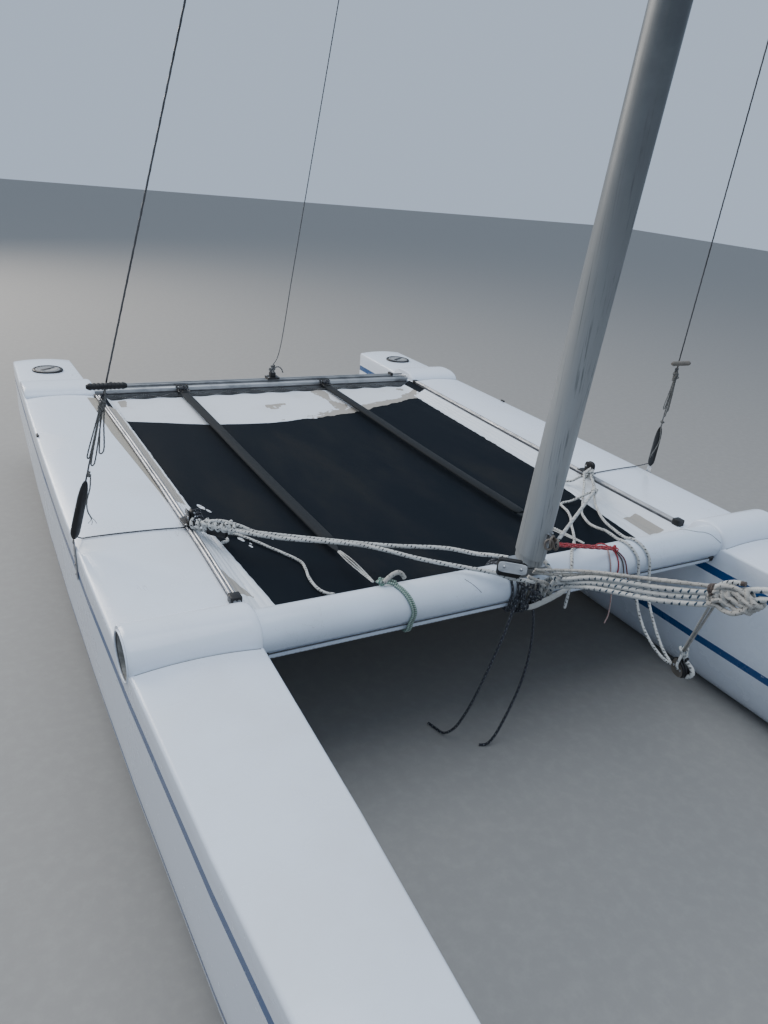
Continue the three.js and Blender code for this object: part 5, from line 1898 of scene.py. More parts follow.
@dataclass
class LooseRopes(Part):
    """The free ropes, each laid where its CAD solid lies."""

    cloth: Trampoline

    def build(self) -> None:
        """Lays each free rope and fits it in place of its CAD node."""
        for rope in LOOSE_ROPES:
            line = curve(rope.route, rope.radius, self.cloth)
            finish = self.finishes.dark_rope if rope.dark else self.finishes.rope
            made = self.yard.rope(f"{rope.node}_rope", [line], rope.radius, finish)
            self.yard.fit(made, finish, Slot.DARK_ROPE if rope.dark else Slot.ROPE, replaces=(rope.node,))


def over_track(degrees: float) -> float:
    """How far a rope round the front beam is pushed out by the track under it."""
    return 0.0170 * math.exp(-(((degrees % 360) - 233) / 17) ** 2)


def around_beam(x0: float, x1: float, start: float, end: float, radius: float,
                lift: float = 0.0008) -> Line:
    """A rope's line round the front beam between two angles, out over the lip under it.

    Args:
        x0: where it starts along the beam.
        x1: where it ends along the beam.
        start: the first angle, in degrees up from the beam's rear face.
        end: the last angle.
        radius: half the rope's thickness.
        lift: how far it stands off the beam.

    Returns:
        The line.
    """
    count = max(2, round(abs(end - start) / 6))
    out = []
    for i in range(count + 1):
        degrees = start + (end - start) * i / count
        over = over_track(degrees)
        out.append(boat(*on_beam(x0 + (x1 - x0) * i / count, degrees, radius, lift + over)))
    return out


@dataclass
class Rigging(Part):
    """The tied and taut ropes: purchases, lashings, knots, the bow bundle and the shroud adjusters."""

    mast: Mast
    stays: Stays
    cloth: Trampoline

    def tie(self, name: str, lines: list[Line], radius: float, finish: Finish,
            twisted: bool = False, body: Body | None = Body.ROOT) -> Piece:
        """Lays a tied or taut rope along its lines.

        Args:
            name: the piece's name.
            lines: the middle lines of its lengths.
            radius: half its thickness.
            finish: its material.
            twisted: whether its strands wind one way instead of crossing.
            body: the body that it rides on, or None where it is left on no body.

        Returns:
            The piece.
        """
        made = self.yard.rope(name, lines, radius, finish, sides=12, relief=0.12 if twisted else 0.09,
                              strands=3, lay=7.0 if twisted else 5.0, braided=0.0 if twisted else 1.0)
        dark = finish == self.finishes.dark_rope
        if body:
            return self.yard.fit(made, finish, Slot.DARK_ROPE if dark else Slot.ROPE, body)
        made.data.materials.clear()
        made.data.materials.append(finish)
        return made

    def purchases(self) -> None:
        """The doubled line from the starboard lead to the mast's foot."""
        rope = self.finishes.rope
        self.tie("foot_purchase_upper", [curve("-838 600 50, -790 540 56, -735 489 61, -561 365 69, -382 240 80, "
                                               "-216 152 87, -158 78 96, -140 22 116, -118 -20 126")], 0.0060, rope)
        self.tie("foot_purchase_lower", [curve("-842 615 40, -780 520 58, -671 408 69, -447 260 79, -322 121 82, "
                                               "-210 29 80, -150 -12 76, -120 -40 70, -80 -60 64, -40 -64 54")],
                 0.0060, rope)
        lead = boat(-0.845, 0.640, 0.045)
        self.tie("lead_knot_starboard", [
            knot("-832 598 50", 0.017, (0.5, -0.6, 0.6)),
            knot("-812 618 24", 0.015, (0.2, 0.3, 1.0)),
            coil("-862 655 30, -820 600 36", 0.016, 3.0, 40),
            curve("-820 612 40, -800 640 20, -772 622 -4, -765 590 -14, -790 566 -6"),
            coil("-826 590 50, -762 515 60", 0.0125, 4.5, 20),
            knot("-778 536 66", 0.015, (0.7, -0.7, 0.3)),
            curve("-836 600 58, -800 560 74, -752 512 72, -722 482 64, -700 462 62")], 0.0052, rope)
        self.yard.box("lead_cam_starboard", (0.070, 0.022, 0.026), boat(-0.806, 0.572, 0.030), 0.006,
                      Matrix.Rotation(-0.80, 3, "Z"))
        self.tie("lead_becket_starboard", [helix(lead, lead + Vector((0.004, 0.055, 0.010)), 0.014, 3.0)], 0.0035,
                 self.finishes.dark_rope)

    def foot(self) -> None:
        """The lashing that holds the turning block to the beam at the mast's foot."""
        finishes = self.finishes
        self.tie("foot_lashing_dark", [
            around_beam(-0.090, -0.062, 40, 410, 0.0042), around_beam(-0.060, -0.084, 60, 425, 0.0042, 0.009),
            around_beam(-0.046, -0.030, 148, 300, 0.0042, 0.010), around_beam(-0.010, -0.058, 152, 290, 0.0042, 0.017),
            around_beam(-0.064, 0.002, 150, 285, 0.0042, 0.019), around_beam(0.012, -0.006, 150, 280, 0.0042, 0.011),
            curve("-92 -26 66, -70 -46 40, -36 -54 20, 0 -52 -2, 20 -46 -26, 8 -34 -52"),
            curve("-30 -60 60, -52 -52 30, -58 -46 -4, -44 -42 -34, -30 -32 -64"),
            knot("-40 -44 -34", 0.017, (0.1, -1.0, 0.2)),
            knot("-14 -48 -8", 0.014, (-0.2, -1.0, 0.1))], 0.0042, finishes.dark_rope)
        self.tie("foot_lashing_pale", [
            around_beam(-0.038, -0.022, 150, 300, 0.0055, 0.001), around_beam(-0.020, 0.004, 150, 300, 0.0055, 0.002),
            around_beam(0.004, 0.018, 150, 300, 0.0055, 0.001),
            curve("-60 -56 72, -34 -64 58, 4 -66 44, 30 -56 20, 36 -42 -6")], 0.0055, finishes.grimy_rope)
        strip = smooth_line(laid("-42 -36 -52, -10 -44 -50, 30 -46 -40, 76 -44 -30, 118 -40 -20, 138 -38 -10"), 8)
        rings = []
        for i, point in enumerate(strip):
            t = i / (len(strip) - 1)
            wide = 0.004 + 0.0085 * math.sin(math.pi * min(1.0, t * 0.8 + 0.1)) ** 0.8
            rings.append([point + Vector((0.0, 0.0045 * math.cos(a), wide * math.sin(a) + 0.001 * noise.noise(
                point * 90.0))) for a in angles(14)])
        self.yard.loft("foot_strip", rings, finishes.canvas, Slot.ROPE)

    def bundle(self) -> None:
        """The ropes that run from the mast's foot up to the bridle's ring."""
        finishes = self.finishes
        ring = self.stays.ring() - PLAN_SHIFT
        end = (0.0, ring.y - 0.012, ring.z - 0.006)
        wraps = [around_beam(start, end_x, 300, stop, 0.0068, 0.002)
                 for start, end_x, stop in ((0.052, 0.046, 162), (0.078, 0.070, 165), (0.030, 0.028, 172))]
        routes = (
            ("34 -62 54, 18 -98 75, 6 -136 94, 0 -253 163, 0 -460 246, 0 -608 315, 0 -664 352, 0 -724 385, "
             "3 -1200 575", [boat(*end)]),
            ("58 -54 38, 34 -112 70, 12 -160 96, 3 -259 148, 3 -466 230, 2 -614 303, 4 -652 322, 6 -676 338", []),
            ("28 -58 20, 26 -104 46, 14 -180 92, 0 -263 134, 0 -469 214, 0 -618 288, -2 -676 328, 0 -730 365, "
             "-3 -1200 560", [boat(0.002, end[1], end[2] - 0.010)]))
        lines = [[*wrap, *smooth_line(laid(route) + last)] for wrap, (route, last) in zip(wraps, routes)]
        self.tie("bow_bundle", lines, 0.0068, finishes.blue_rope)
        self.tie("bow_tangle", [
            curve("70 -60 50, 40 -78 78, 10 -92 62, 20 -74 30, 56 -60 26, 80 -66 48, 64 -84 76, 30 -104 90"),
            curve("92 -46 30, 74 -70 58, 46 -100 74, 22 -150 104, 8 -250 154, 7 -340 188"),
            coil("30 -86 66, 14 -132 92", 0.016, 2.2, 90),
            around_beam(0.064, 0.088, 60, 300, 0.0060, 0.002)], 0.0060, finishes.blue_rope)
        self.tie("bow_bundle_thin", [
            curve("-58 -76 104, -30 -86 103, 0 -118 115, -2 -250 179, -2 -454 264, 0 -597 326"),
            curve("-58 -70 94, -26 -88 92, 4 -126 104, 10 -240 164, 10 -420 248, 6 -594 322")],
                 0.0047, finishes.grimy_rope, True)

    def bow_knot(self) -> None:
        """The braided knot in the bundle, with its tail and its thin brown whipping."""
        finishes = self.finishes
        strands = ("-614 331, -626 345, -657 357, -693 354, -716 347",
                   "-613 322, -630 337, -655 344, -688 342, -710 339",
                   "-614 312, -633 329, -655 330, -680 327, -700 328",
                   "-616 300, -632 312, -651 312, -674 309, -696 320",
                   "-608 289, -624 293, -646 292, -669 298, -690 313, -703 331")
        braid = []
        for k, strand in enumerate(map(pairs, strands)):
            (y0, z0), (y1, z1) = strand[0], strand[-1]
            path = [(0.006, y0 + 0.004, z0), *((-0.014 - 0.003 * math.sin(k * 2.1 + j * 1.7), y, z)
                                               for j, (y, z) in enumerate(strand)),
                    (-0.006, y1 - 0.007, z1 - 0.004), (0.008, y1 - 0.004, z1)]
            braid.append(smooth_line([boat(*point) for point in path]))
        braid += [coil("0 -618 316, 0 -652 334", 0.0165, 2.4, 60),
                  coil("2 -700 358, 0 -672 336", 0.0170, 1.8, 200)]
        self.tie("bow_knot", braid, 0.0058, finishes.grimy_rope, True)
        tail = curve("-2 -590 320, -6 -613 336, -10 -629 353, -8 -651 367, -6 -664 371")
        self.tie("bow_tail", [tail], 0.0060, finishes.rope)
        way = (tail[-1] - tail[-2]).normalized()
        self.tie("bow_tail_tip", [[tail[-1] - way * 0.001, tail[-1] + way * 0.010]], 0.0058, finishes.brown_rope)
        self.tie("bow_whipping", [coil("-4 -598 318, -6 -612 326", 0.0125, 3.0, 30),
                                  knot("-16 -606 322", 0.009, (-1.0, -0.4, 0.3))],
                 0.0028, finishes.brown_rope, True)

    def hanging_line(self) -> None:
        """The two thin strands that hold the hanging block up to the bundle."""
        finishes = self.finishes
        self.tie("hanger_strands", [
            [boat(0.0, -0.604, 0.280), boat(0.408, -0.303, -0.142)],
            [boat(0.006, -0.610, 0.278), boat(0.412, -0.307, -0.145)],
            coil("0 -596 292, 0 -618 302", 0.012, 2.0)], 0.0031, finishes.grimy_rope, True)
        self.tie("hanger_knot", [
            knot("411 -303 -146", 0.013, (-0.7, -0.6, 0.5)),
            coil("415 -302 -150, 423 -302 -172", 0.009, 2.0),
            curve("408 -304 -152, 396 -308 -170, 388 -310 -190, 394 -312 -204"),
            knot("438 -284 -212", 0.012, (-0.7, -0.6, 0.5))], 0.0042, finishes.blue_rope)
        self.tie("hanger_lump", [curve("424 -300 -232, 425 -328 -231, 428 -344 -216, 430 -337 -201, 431 -312 -190")],
                 0.0072, finishes.rope)

    def padeye_lines(self) -> None:
        """What is tied to the mast's padeye: the doubled white line and the red rope."""
        finishes = self.finishes
        eye = self.mast.at(0.010, -0.080, 0.108) - PLAN_SHIFT
        apex = (0.754, 0.519, 0.010)
        lines = []
        for lift, aside in ((0.0052, 0.003), (-0.0052, -0.003)):
            start = Vector((eye.x + 0.006, eye.y - aside, eye.z + lift))
            stop = Vector((apex[0] - 0.012, apex[1] - 0.010, apex[2] + 0.004 + lift * 0.7))
            lines.append([boat(*start.lerp(stop, t / 20)) for t in range(21)])
        white = self.tie("lead_line_port", lines, 0.0056, finishes.rope, body=None)
        reds = []
        for lift, fore in ((0.004, 0.0), (-0.004, 0.0), (0.0, 0.006)):
            start = Vector((eye.x + 0.004, eye.y - 0.006 - fore, eye.z - 0.010 + lift))
            stop = Vector((0.345, 0.002 - fore, 0.072 + lift))
            wavy = 0.0025 if fore else 0.0008
            reds.append([boat(*(start.lerp(stop, t / 40) + Vector((0, 0, wavy * math.sin(t * 1.3)))))
                         for t in range(41)])
        red = self.tie("red_lashing", reds, 0.0032, finishes.red_rope, body=None)
        for piece, near, far in ((white, boat(0.10, 0.02, 0.17), boat(0.70, 0.48, 0.02)),
                                 (red, boat(0.06, -0.05, 0.16), boat(0.34, 0.0, 0.075))):
            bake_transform(piece)
            log.info("%s runs from the mast to the beam", piece.name)

    def red_ends(self) -> None:
        """The red rope's knot on the beam, with its loose ends."""
        finishes = self.finishes
        self.tie("red_knot", [
            knot("352 4 70", 0.011, (0.1, -0.5, 1.0)),
            knot("340 -2 76", 0.010, (0.6, -0.7, 0.5)),
            around_beam(0.362, 0.356, 100, 458, 0.0019)], 0.0022, finishes.red_rope)
        self.tie("red_tails", [curve("@356 98, @366 125, @376 150, 384 -32 -20, 392 -34 -46", 0.0028)], 0.0022,
                 finishes.brown_rope)
        self.tie("red_tail_short", [curve("@360 96, @374 125, @388 150, 396 -34 -16, 402 -38 -36", 0.0028)], 0.0022,
                 finishes.wine_rope)
        self.tie("pink_tail", [curve("@345 100, @330 125, @324 150, 326 -30 -20, 336 -32 -52, 352 -28 -95, "
                                     "361 -26 -140, 362 -26 -175, 354 -26 -200", 0.0026)], 0.0026, finishes.pink_rope)

    def port_lead(self) -> None:
        """The lashing and knot that hold the white line to the port lead."""
        rope = self.finishes.rope
        ring = [knot("764 526 12", 0.011, (0.8, 0.6, 0.1)),
                coil("748 514 12, 760 523 12", 0.0095, 2.4),
                curve("768 530 14, 796 575 24, 828 628 34"),
                curve("772 526 8, 802 572 18, 836 628 30")]
        self.tie("lead_lashing_port", ring, 0.0042, rope)
        self.tie("lead_knot_port", [
            knot("830 640 34", 0.016, (-0.4, -0.6, 0.6)),
            coil("858 660 30, 816 628 32", 0.015, 2.6, 40),
            curve("815 630 36, 792 652 18, 770 668 -2, 756 700 -14, 770 724 -12")], 0.0050, rope)

    def green_ring(self) -> None:
        """The green rope tied twice round the beam, with a frayed white end on it."""
        finishes = self.finishes
        lines = []
        for aside in (0.0, 0.0088):
            line = []
            for i in range(64):
                degrees = 92 + 356 * i / 63
                drift = (0.030 * abs((180 - degrees) / 88) ** 1.4 if degrees < 180
                         else 0.028 * min(1.0, (degrees - 180) / 230))
                bend = -0.431 - drift
                over = over_track(degrees)
                line.append(boat(*on_beam(bend + aside, degrees, 0.0040, 0.0008 + over)))
            lines.append(line)
        lines += [knot("-494 66 68", 0.011, (0.3, -0.4, 1.0)),
                  curve("-486 58 68, -472 52 67, -458 44 64.5"),
                  curve("-488 70 72, -470 66 70, -450 52 66")]
        self.tie("green_ring", lines, 0.0039, finishes.green_rope)
        self.yard.line("beam_scratch", [around_beam(-0.235, -0.192, 112, 160, 0.0008, -0.0005)], 0.0008,
                       finishes.seam, Slot.BEAM_WHITE, 0.01, 6)
        self.tie("green_ring_end", [curve("-488 56 70, -472 60 80, -455 63 87, -440 64 89, -428 62 83, -419 60 70")],
                 0.0068, finishes.grimy_rope)

    def strap_ties(self) -> None:
        """The lashings from the straps' front ends to the beam."""
        finishes = self.finishes
        for side, x, tip, beam_x in zip(SIDES, STRAP_X, (-0.464, 0.338), (-0.492, 0.318)):
            eye = boat(tip, 0.388, -0.002)
            end = boat(beam_x, 0.1100, 0.0430)
            strands = []
            for aside, rise in ((-0.0065, 0.0), (-0.0020, 0.0035), (0.0030, -0.0010), (0.0070, 0.0025)):
                spread = Vector((aside, 0, rise))
                strands.append(smooth_line([eye + spread * 0.6, eye.lerp(end, 0.35) + spread * 1.2,
                                            eye.lerp(end, 0.72) + spread * 0.8, end + spread * 0.3], 10))
            self.tie(f"strap_tie_{side.name}", strands, 0.0020, finishes.rope, True)
            self.tie(f"strap_web_{side.name}", [[eye.lerp(end, 0.18) + Vector((0, 0, -0.004)),
                                                 eye.lerp(end, 0.66) + Vector((0, 0, -0.004))]],
                     0.0034, finishes.dark_rope)
            path = [boat(x, 0.474, -0.010), boat(x + (tip - x) * 0.5, 0.430, -0.008), boat(tip, 0.392, -0.004)]
            rings = []
            for point, wide in zip(smooth_line(path, 8), [0.020 - 0.0011 * min(i, 14) for i in range(17)]):
                rings.append([point + Vector((wide * math.cos(a), 0.0, 0.0022 * math.sin(a)))
                              for a in angles(16)])
            self.yard.loft(f"strap_end_{side.name}", rings, finishes.strap, Slot.WEBBING)

    def strap_loops(self) -> None:
        """The black webbing that takes each strap's rear end round the rear beam."""
        for side, x in zip(SIDES, STRAP_X):
            path = [(x, 2.200, -0.0005), (x, 2.240, -0.004), (x, 2.254, 0.000), (x, 2.258, 0.008), (x, 2.268, 0.0122),
                    (x, 2.286, 0.0122)]
            for label, dx, wide in (("wide", 0.0, 0.017), ("left", -0.026, 0.004), ("right", 0.026, 0.004)):
                rings = []
                for i, point in enumerate(smooth_line([boat(*p) for p in path], 6)):
                    twist = 0.004 * math.sin(i * 0.7 + dx * 90)
                    rings.append([point + Vector((dx + twist + wide * math.cos(a), 0.0012 * math.sin(a),
                                                  0.0018 * math.sin(a))) for a in angles(14)])
                self.yard.loft(f"strap_loop_{side.name}_{label}", rings, self.finishes.black, Slot.WEBBING, 50.0)
            self.tie(f"strap_knot_{side.name}", [knot_line(boat(x, 2.243, 0.004), 0.015, Vector((0.3, -0.7, 0.6))),
                                                 helix(boat(x - 0.020, 2.240, 0.0), boat(x + 0.020, 2.240, 0.002),
                                                       0.010, 3.0)], 0.0034, self.finishes.dark_rope)

    def adjusters(self) -> None:
        """The thin adjusting lines on each shroud, between its handle and its cover."""
        finishes = self.finishes
        top = self.stays.top()
        for side in SIDES:
            pin = self.stays.pin(side)
            way = (top - pin).normalized()
            aside = Vector((-side.sign * 1.0, -0.15, 0.0)).normalized()

            def along(distance: float, out: float = 0.0, fore: float = 0.0, start: Vector = pin,
                      line: Vector = way, out_way: Vector = aside) -> Vector:
                """A point beside the shroud."""
                return start + line * distance + out_way * out + Vector((0.0, -fore, 0.0))

            loops = []
            for out, fore, low in ((0.030, 0.006, 0.300), (0.012, 0.009, 0.262), (-0.004, 0.007, 0.285)):
                loops.append(smooth_line([
                    along(0.500, 0.001, 0.004), along(0.400, out * 0.48, fore), along(low + 0.016, out * 0.98, fore),
                    along(low + 0.004, out * 0.97 - 0.001, fore), along(low, out * 0.92 - 0.004, fore),
                    along(low + 0.004, out * 0.87 - 0.007, fore), along(low + 0.016, out * 0.84 - 0.008, fore),
                    along(0.400, out * 0.34 - 0.005, fore), along(0.480, -0.002, 0.005)], 8))
            cluster = [knot_line(along(0.462, 0.004, 0.004), 0.012, aside),
                       knot_line(along(0.448, -0.004, 0.006), 0.010, aside),
                       knot_line(along(0.232, 0.004, 0.004), 0.008, aside),
                       helix(along(0.430), along(0.472), 0.0072, 5.0)]
            tail = smooth_line([along(0.232, 0.008, 0.006), along(0.190, 0.012, 0.014), along(0.145, 0.010, 0.020),
                                along(0.108, 0.019, 0.018), along(0.082, 0.034, 0.017)], 8)
            frays = [smooth_line([tail[-3], along(0.070 + dy, 0.040 + dx, 0.016), along(0.058 + dy, 0.043 + dx * 2.2,
                                                                                    0.015)], 4)
                     for dx, dy in ((0.004, 0.004), (-0.002, 0.0), (-0.007, 0.006))]
            self.tie(f"adjuster_{side.name}", [*loops, *cluster, tail], 0.0021, finishes.dusty_rope, True)
            self.tie(f"adjuster_{side.name}_fray", frays, 0.0009, finishes.dusty_rope, True)
            self.tie(f"adjuster_{side.name}_wrap", [helix(along(0.4735), along(0.490), 0.0052, 4.0)], 0.0022,
                     finishes.dark_rope)

    def deck_cords(self) -> None:
        """The thin dark cords that cross the decks from the shrouds to the rails."""
        for side, (x0, y0, x1, y1) in zip(SIDES, ((1.205, 0.700, 0.871, 0.684), (1.205, 0.715, 0.890, 0.694))):
            line = []
            for i in range(25):
                t = i / 24
                x, y = x0 + (x1 - x0) * t, y0 + (y1 - y0) * t - 0.012 * math.sin(math.pi * t)
                across = min(1.0, abs(x - HULL_X) / 0.177)
                line.append(boat(side.sign * x, y, CAMBER * (1 - across * across) + 0.0026))
            first = self.stays.pin(side) + Vector((0.0, 0.006, 0.012))
            self.tie(f"deck_cord_{side.name}", [smooth_line([first, *line[1:]], 2)], 0.0021,
                     self.finishes.dark_rope)

    def halyard(self) -> None:
        """The light line from the masthead down to the traveller's car."""
        head = self.mast.at(0.0, 0.095, 8.560)
        bend = boat(0.070, 2.262, 0.190)
        half = head.lerp(bend, 0.5)
        upper = self.tie("halyard_upper", [[head, half]], 0.0022, self.finishes.dark_fleck, True, None)
        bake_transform(upper)
        lower = self.tie("halyard_lower", [[half, *smooth_line([
            half.lerp(bend, 0.9), bend, boat(0.062, 2.282, 0.130), boat(0.052, 2.302, 0.096),
            boat(0.050, REAR_BEAM_Y, 0.066)])]], 0.0022, self.finishes.dark_fleck, True, None)
        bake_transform(lower)
        self.tie("car_knot", [
            knot("52 2302 82", 0.015, (0.4, -1.0, 0.4)),
            knot("40 2300 68", 0.011, (-0.4, -1.0, 0.2)),
            curve("60 2296 84, 78 2284 88, 92 2276 76, 98 2272 58"),
            coil("50 2305 54, 50 2305 78", 0.0095, 2.5)], 0.0032,
                 self.finishes.dark_fleck, True, Body.CAR)

    def lacing(self) -> None:
        """The cord that laces the cloth's rear edge to the rear beam."""
        line = []
        for i in range(221):
            x = -0.798 + 1.596 * i / 220
            swing = math.asin(math.cos(2 * math.pi * x / EYELET_PITCH)) / (math.pi / 2)
            y = 2.233 - 0.021 * swing
            line.append(boat(x, y, self.cloth.flat_height(x, 2.19) + 0.0045 - 0.004 * min(0.0, swing)))
        self.tie("rear_lacing", [line], 0.0022, self.finishes.dark_fleck, True)

    def build(self) -> None:
        """Builds the rigging."""
        self.purchases()
        self.foot()
        self.bundle()
        self.bow_knot()
        self.hanging_line()
        self.padeye_lines()
        self.red_ends()
        self.port_lead()
        self.green_ring()
        self.strap_ties()
        self.strap_loops()
        self.adjusters()
        self.deck_cords()
        self.halyard()
        self.lacing()


# Blocks and deck fittings


@dataclass
class Block(Part):
    """A sheave between two cheeks, on an axle."""

    centre: Vector
    axis: Vector
    sheave: float
    width: float
    length: float
    tall: float
    corners: tuple[float, float] = (0.62, 0.80)

    def frame(self) -> Matrix:
        """The block's own axes: along, up and through its axle."""
        axis = self.axis.normalized()
        up = (UP - axis * UP.dot(axis)).normalized()
        return Matrix((up.cross(axis), up, axis)).transposed()

    def cheek(self, offset: float, thick: float) -> Shape:
        """One cheek, a long plate with round ends and softened edges."""
        frame = self.frame()
        rings = []
        for depth, inset in ((-thick / 2, 0.0012), (-thick / 4, 0.0), (thick / 4, 0.0), (thick / 2, 0.0012)):
            ring = []
            for angle in angles(40):
                cosine, sine = math.cos(angle), math.sin(angle)
                x = math.copysign(abs(cosine) ** self.corners[0], cosine) * (self.length / 2 - inset)
                y = math.copysign(abs(sine) ** self.corners[1], sine) * (self.tall / 2 - inset)
                ring.append(self.centre + frame @ Vector((x, y, offset + depth)))
            rings.append(ring)
        return Shape().loft(rings)

    def build(self, name: str, cheeks: tuple[Finish, Finish], body: Body = Body.ROOT,
              replaces: tuple[str, ...] = ()) -> None:
        """Builds the block.

        Args:
            name: the start of its pieces' names.
            cheeks: the finish of each cheek.
            body: the body that it rides on.
            replaces: the CAD node that it stands for.
        """
        half = self.width / 2
        axis = self.axis.normalized()
        profile = [(0.002, -half * 0.7), (self.sheave, -half * 0.7), (self.sheave, -half * 0.55),
                   (self.sheave * 0.80, 0.0), (self.sheave, half * 0.55), (self.sheave, half * 0.7),
                   (0.002, half * 0.7)]
        self.yard.loft(f"{name}_sheave", lathe(profile, self.centre, axis, 36), self.finishes.black,
                       Slot.BLACK_PLASTIC, body=body, replaces=replaces)
        for label, offset, finish in (("near", half * 0.84, cheeks[0]), ("far", -half * 0.84, cheeks[1])):
            plate = self.cheek(offset, half * 0.32).object(f"{name}_cheek_{label}")
            self.yard.fit(plate, finish, Slot.BLACK_PLASTIC, body)
        along = self.frame() @ Vector((self.length * 0.30, 0, 0))
        seats = [(self.centre + axis * half * sign + along * k, axis * sign) for sign in (-1, 1) for k in (-1, 1)]
        self.yard.fasteners(f"{name}_pins", seats, 0.0032, body)


@dataclass
class Fittings(Part):
    """The ports, the blocks, the traveller's track, and the small hardware."""

    mast: Mast
    stays: Stays

    def dress(self) -> None:
        """Dresses the fittings that keep their CAD shapes."""
        finishes = self.finishes
        for side in SIDES:
            for name in ("bow_tang", "chainplate", "gudgeon_upper", "gudgeon_lower"):
                self.yard.dress_node(f"{name}_{side.name}", finishes.stainless)
        self.yard.dress_node("mast_step", finishes.aluminium)
        self.yard.dress_node("traveller_car", finishes.black)

    def ports(self) -> None:
        """The inspection ports: a black threaded ring and a grey lid with a finger slot and ribs."""
        finishes = self.finishes
        for side in SIDES:
            x, y = side.sign * HULL_X, 2.650
            centre = boat(x, y, 0.0)
            ring = Shape()
            for profile in ("61.2 11.8, 61.2 15, 62.5 16.8, 68 17.2, 72.2 15.2, 73.8 12.8, 74 9",
                            "74 9, 61.2 9, 61.2 11.8"):
                ring.loft(lathe(pairs(profile), centre, UP, 72), caps=False)
            self.yard.fit(ring.object(f"port_{side.name}_collar"), finishes.black, Slot.BLACK_PLASTIC,
                          replaces=(f"port_ring_{side.name}",))
            lid = pairs("0.4 15, 13 15, 15 15.8, 50 16, 56 15.8, 59 14.6, 60.4 12.2, 60.4 8, 0.4 8")
            self.yard.loft(f"port_{side.name}_cap", lathe(lid, centre, UP, 72), finishes.grey, Slot.GREY_PLASTIC,
                           replaces=(f"port_lid_{side.name}",))
            self.yard.box(f"port_{side.name}_slot", (0.080, 0.019, 0.0024), boat(x, y, 0.0159), 0.0011,
                          Matrix.Rotation(0.6, 3, "Z"))
            circle = [boat(x + 0.0490 * math.cos(a), y + 0.0490 * math.sin(a), 0.0158)
                      for a in angles(72, 74)]
            self.yard.line(f"port_{side.name}_groove", [circle], 0.0011, finishes.seam, Slot.BLACK_PLASTIC, 0.004)
            ribs = [(boat(x + 0.0576 * math.cos(a), y + 0.0576 * math.sin(a), 0.0152), UP)
                    for a in angles(24)]
            self.yard.fasteners(f"port_{side.name}_grips", ribs, 0.0021, rise=0.6, washer=1.0, finish=finishes.grey)

    def leads(self) -> None:
        """The jib leads' blocks on their plates, the turning block and the hanging block."""
        finishes = self.finishes
        for side in SIDES:
            x = side.sign * (rail_x(LEAD_Y) + 0.008)
            self.yard.box(f"lead_plate_{side.name}", (0.044, 0.074, 0.006), boat(x, LEAD_Y, 0.0229), 0.0022,
                          replaces=(f"jib_lead_{side.name}",))
            seats = [(point, UP) for point in four(x, LEAD_Y, 0.0262, 0.015, 0.029)]
            self.yard.fasteners(f"lead_screws_{side.name}", seats, 0.0032)
            Block(self.yard, boat(x, 0.676, 0.0490), Vector((1, 0, 0)), 0.0205, 0.018, 0.046, 0.046).build(
                f"lead_block_{side.name}", (finishes.black, finishes.black))
        Block(self.yard, boat(-0.116, -0.044, 0.106), Vector((-0.62, -0.75, 0.20)), 0.0165, 0.025, 0.084, 0.032,
              (0.34, 0.45)).build("turning_block", (finishes.pale, finishes.black))
        self.yard.box("turning_block_body", (0.074, 0.021, 0.060), boat(-0.121, -0.036, 0.102), 0.010,
                      Matrix.Rotation(-0.69, 3, "Z"))
        Block(self.yard, boat(0.422, -0.303, -0.212), Vector((0.97, -0.25, 0)), 0.0230, 0.030, 0.056, 0.054).build(
            "hanging_block", (finishes.black, finishes.dull), replaces=("sheet_block",))
        straps = [coil("404 -298 -212, 440 -308 -212", 0.0295, 1.0, 90, 40),
                  coil("408 -299 -212, 436 -307 -212", 0.0300, 1.0, 10, 40)]
        self.yard.line("hanging_block_strap", straps, 0.0038, finishes.black, Slot.BLACK_PLASTIC, 0.004, 10)
        swivel = lathe(pairs("0.4 0, 4.5 0, 5 2, 5 20, 3.5 23.5, 0.4 24"), boat(0.424, -0.302, -0.196),
                       UP, 16)
        self.yard.loft("hanging_block_swivel", swivel, finishes.stainless, Slot.STAINLESS)

    def small_hardware(self) -> None:
        """The screws and pins of the hulls' fittings and of the mast's step."""
        aft = Vector((0, 1, 0))
        screws, heads = [], []
        for side in SIDES:
            x = side.sign * HULL_X
            out = Vector((side.sign, 0, 0))
            for z in (-0.070, -0.300):
                screws += [(point, aft) for point in four(x, 2.9144, z, 0.016, dz=0.022)]
                heads.append((boat(x, 2.938, z + 0.0062), UP))
            screws += [(boat(side.sign * 1.2213, SHROUD_Y, z), out) for z in (-0.030, -0.062, -0.094)]
            heads.append((boat(side.sign * 1.2222, SHROUD_Y, 0.016), out))
            screws += [(point, UP) for point in four(x, TANG_Y, 0.0415, 0.006, 0.030)]
            heads += [(boat(x + 0.0034 * way, TANG_Y, 0.056), Vector((way, 0, 0))) for way in (-1, 1)]
            heads += [(boat(side.sign * (HULL_X - station_at(y).half + 0.016), y, 0.0016), UP)
                      for y in (-0.028, 2.196, 2.428)]
        screws += [(point, UP) for point in four(0.0, 0.036, 0.0645, 0.040, 0.034)]
        self.yard.fasteners("small_screws", screws, 0.0034)
        self.yard.fasteners("large_pins", heads, 0.0048)

